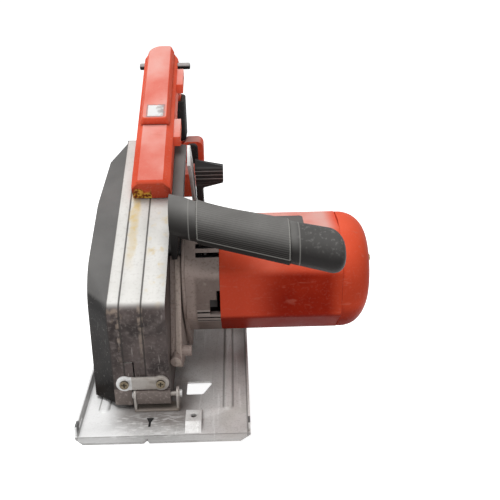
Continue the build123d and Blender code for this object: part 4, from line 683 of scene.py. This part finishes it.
ribbed = Finish("ribbed_grip", {"Specular IOR Level": 0.06})
cloud = ribbed.noise(45.0, 5.0)
sockets = {0: reach_along(ribbed, grip_top), 1: reach_along(ribbed, grip_side)}
turn = ribbed.add("ShaderNodeMath", {"operation": "ARCTAN2"}, sockets)
rib_count, edge_turn = 62.0, -0.42
ribs = ribbed.add("ShaderNodeMath", {"operation": "SINE"}, {0: turn * rib_count})
upper = ribbed.step(turn, edge_turn - 0.02, edge_turn + 0.02)
outward = (ribbed.place("X") - handle_start.x) * (1.0 / handle_line.x)
seam = ribbed.near(turn, edge_turn, 0.02, 0.02)
for sheet_end in (0.0122, 0.0913):
    seam = seam | (upper * ribbed.near(outward, sheet_end, 0.0003, 0.0004))
# dust on top, and painted light: faces turned up lighter
dust_and_light = ribbed.step(ribbed.facing("Z"), -0.2, 0.85) * (0.5 + cloud * 0.5)
tone = ribbed.mix(dust_and_light, (0.022, 0.020, 0.019), (0.235, 0.23, 0.22))
tone = ribbed.mix(ribbed.step(ribs, 0.0, 0.9) * upper * 0.2, tone, (0.26, 0.25, 0.235))
ribbed.feed("Base Color", ribbed.mix(seam * 0.5, tone, (0.42, 0.41, 0.385)))
ribbed.feed("Roughness", 0.6 + dust_and_light * 0.25)
ribbed.bump(ribs * upper, 0.0002, 0.4)
stand_for("front_grip", rounded(swollen("front_grip"), 0.0004), ribbed)

# Main handle: two red halves screwed together, with a raised panel on top and a skirt beside the
# guard, a rubber sleeve on the rear grip, the trigger, its lock bar, a rubber buffer and the
# empty cord bush.
rubber = Finish("dusty_rubber", {"Specular IOR Level": 0.06})
cloud = rubber.noise(45.0, 5.0)
specks = rubber.step(rubber.noise(420.0, 3.0), 0.58, 0.7)
# dust on top, and painted light: faces turned up lighter
dust_and_light = rubber.step(rubber.facing("Z"), -0.2, 0.8) * (0.5 + cloud * 0.5)
tone = rubber.mix(dust_and_light, (0.014, 0.013, 0.013), (0.12, 0.115, 0.11))
rubber.feed("Base Color", rubber.mix(specks * 0.2, tone, (0.16, 0.155, 0.145)))
rubber.feed("Roughness", 0.6 + dust_and_light * 0.25)
rubber.bump(rubber.noise(900.0, 2.0), 0.00015, 0.5)
handle_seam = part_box("handle_left")[1][0]
for node in ("handle_left", "handle_right"):
    softened(node, red, 0.0015, 3, 20.0, handle_seam)
softened("handle_panel", red, 0.0010, 3)
skirt_outline = ((0.2205, 0.107), (0.268, 0.1045), (0.268, 0.130), (0.2205, 0.133))
skirt_left, skirt_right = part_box("handle_right")[0][0] + 0.0160, 0.0185
skirt_ends = [[(x, y, z) for y, z in skirt_outline] for x in (skirt_left, skirt_right)]
piece_from("handle_skirt", rounded(between(*skirt_ends), 0.002, 3), red, "saw")
softened("grip_sleeve", rubber, 0.0015, 3)
softened("handle_buffer", rubber, 0.0010, 3)
softened("trigger", black, 0.001, 3)
softened("cord_gland", rubber, 0.0008)
bar = Finish("black_lit_on_top", {"Specular IOR Level": 0.12})
# painted highlight: the bar's top lighter
top_highlight = bar.step(bar.facing("Z"), -0.05, 0.40) * (0.6 + bar.noise(200.0, 4.0) * 0.4)
bar.feed("Base Color", bar.mix(top_highlight, (0.014, 0.014, 0.014), (0.52, 0.51, 0.50)))
bar.feed("Roughness", 0.35 + top_highlight * 0.2)
softened("lock_bar", bar, 0.0005)

# Patch on the handle's panel: a bare pale label with a greyed edge, stuck on near the panel's
# front end and soiled on one side.
paper = Finish("pale_label", {"Specular IOR Level": 0.2})
soil = paper.step(paper.noise(120.0, 5.0) + (paper.place("X") + 0.012) * 30.0, 0.52, 0.75)
paper.feed("Base Color", paper.mix(soil, (0.80, 0.80, 0.79), (0.42, 0.38, 0.37)))
paper.feed("Roughness", 0.45 + soil * 0.2)
panel_slope = radians(25.2)
panel_out = Vector((0.0, -sin(panel_slope), cos(panel_slope)))
patch_front = Vector((-0.0192, 0.1750, 0.2068)) - panel_out * bedded
patch_up = Vector((0.0, cos(panel_slope), sin(panel_slope))) * 0.0158
patch_wide = Vector((0.0148, 0.0, 0.0))
border = Finish("label_border", {"Specular IOR Level": 0.1})
dots = border.step(border.noise(800.0, 3.0), 0.42, 0.58)
border.feed("Base Color", border.mix(dots, (0.72, 0.24, 0.18), (0.36, 0.30, 0.30)))
border.feed("Roughness", 0.5 + dots * 0.2)
patch = [patch_front, patch_front + patch_wide, patch_front + patch_wide + patch_up, patch_front + patch_up]
edge_out, edge_up = patch_wide * 0.10, patch_up * 0.09
edge = [patch[0] - edge_out - edge_up, patch[1] + edge_out - edge_up,
        patch[2] + edge_out + edge_up, patch[3] - edge_out + edge_up]
plate("panel_label_border", edge, 0.0003, 0.0008, border, "saw")
plate("panel_label", patch, 0.0005, 0.0008, paper, "saw")

# Depth lever: a moulded black arm that flares into a ribbed knob with a cut corner, clamped on
# the quadrant by the depth bolt.
lever = Finish("lever_plastic", {"Specular IOR Level": 0.1})
rubs = lever.step(lever.facing("Y") * -1.0, 0.4, 0.9) * (0.5 + lever.noise(180.0, 5.0) * 0.5)
lever_hub, lever_angle = Vector((0.0, 0.19856, 0.08437)), radians(112.0)
lever_arm = Vector((0.0, cos(lever_angle), sin(lever_angle)))
lever_thick = Vector((0.0, sin(lever_angle), -cos(lever_angle)))
up_arm = (lever.place("Y") - lever_hub.y) * lever_arm.y + (lever.place("Z") - lever_hub.z) * lever_arm.z
first_ridge, ridge_pitch, knob_start = 0.0657, 0.00475, 0.0610
phase = (up_arm - first_ridge) * (2.0 * pi / ridge_pitch)
waves = lever.add("ShaderNodeMath", {"operation": "COSINE"}, {0: phase})
# painted highlights along the upper edges of the knob's ridges
ridge_highlights = lever.step(waves, 0.72, 0.92) * lever.step(up_arm, knob_start, knob_start + 0.0005)
tone = lever.mix(rubs, (0.010, 0.009, 0.009), (0.065, 0.062, 0.06))
lever.feed("Base Color", lever.mix(ridge_highlights * rubs, tone, (0.46, 0.45, 0.44)))
lever.feed("Roughness", 0.45 + rubs * 0.2)
lever.bump(lever.noise(1100.0, 2.0), 0.0001, 0.4)
knob, knob_x, knob_top = copy_of("depth_lever"), 0.029, 0.076
corner_drop, corner_slope = 0.0024, 0.2
for vert in knob.verts:
    offset = vert.co - lever_hub
    if vert.co.x > knob_x and offset.dot(lever_arm) > knob_top and offset.dot(lever_thick) > 0.0:
        vert.co -= lever_arm * (corner_drop + (vert.co.x - knob_x) * corner_slope)
stand_for("depth_lever", rounded(knob, 0.0008, 3), lever)
flare_outline = [(0.0295, 0.0655), (0.0503, 0.0655), (0.0503, 0.0632), (0.0318, 0.0575), (0.0295, 0.0545)]
flare_sides, flare_half = [], 0.0060
for deep in (-flare_half, flare_half):
    flare_sides.append([lever_hub + lever_arm * up + lever_thick * deep + Vector((right, 0.0, 0.0))
                        for right, up in flare_outline])
piece_from("lever_flare", between(*flare_sides), lever, "depth_lever")
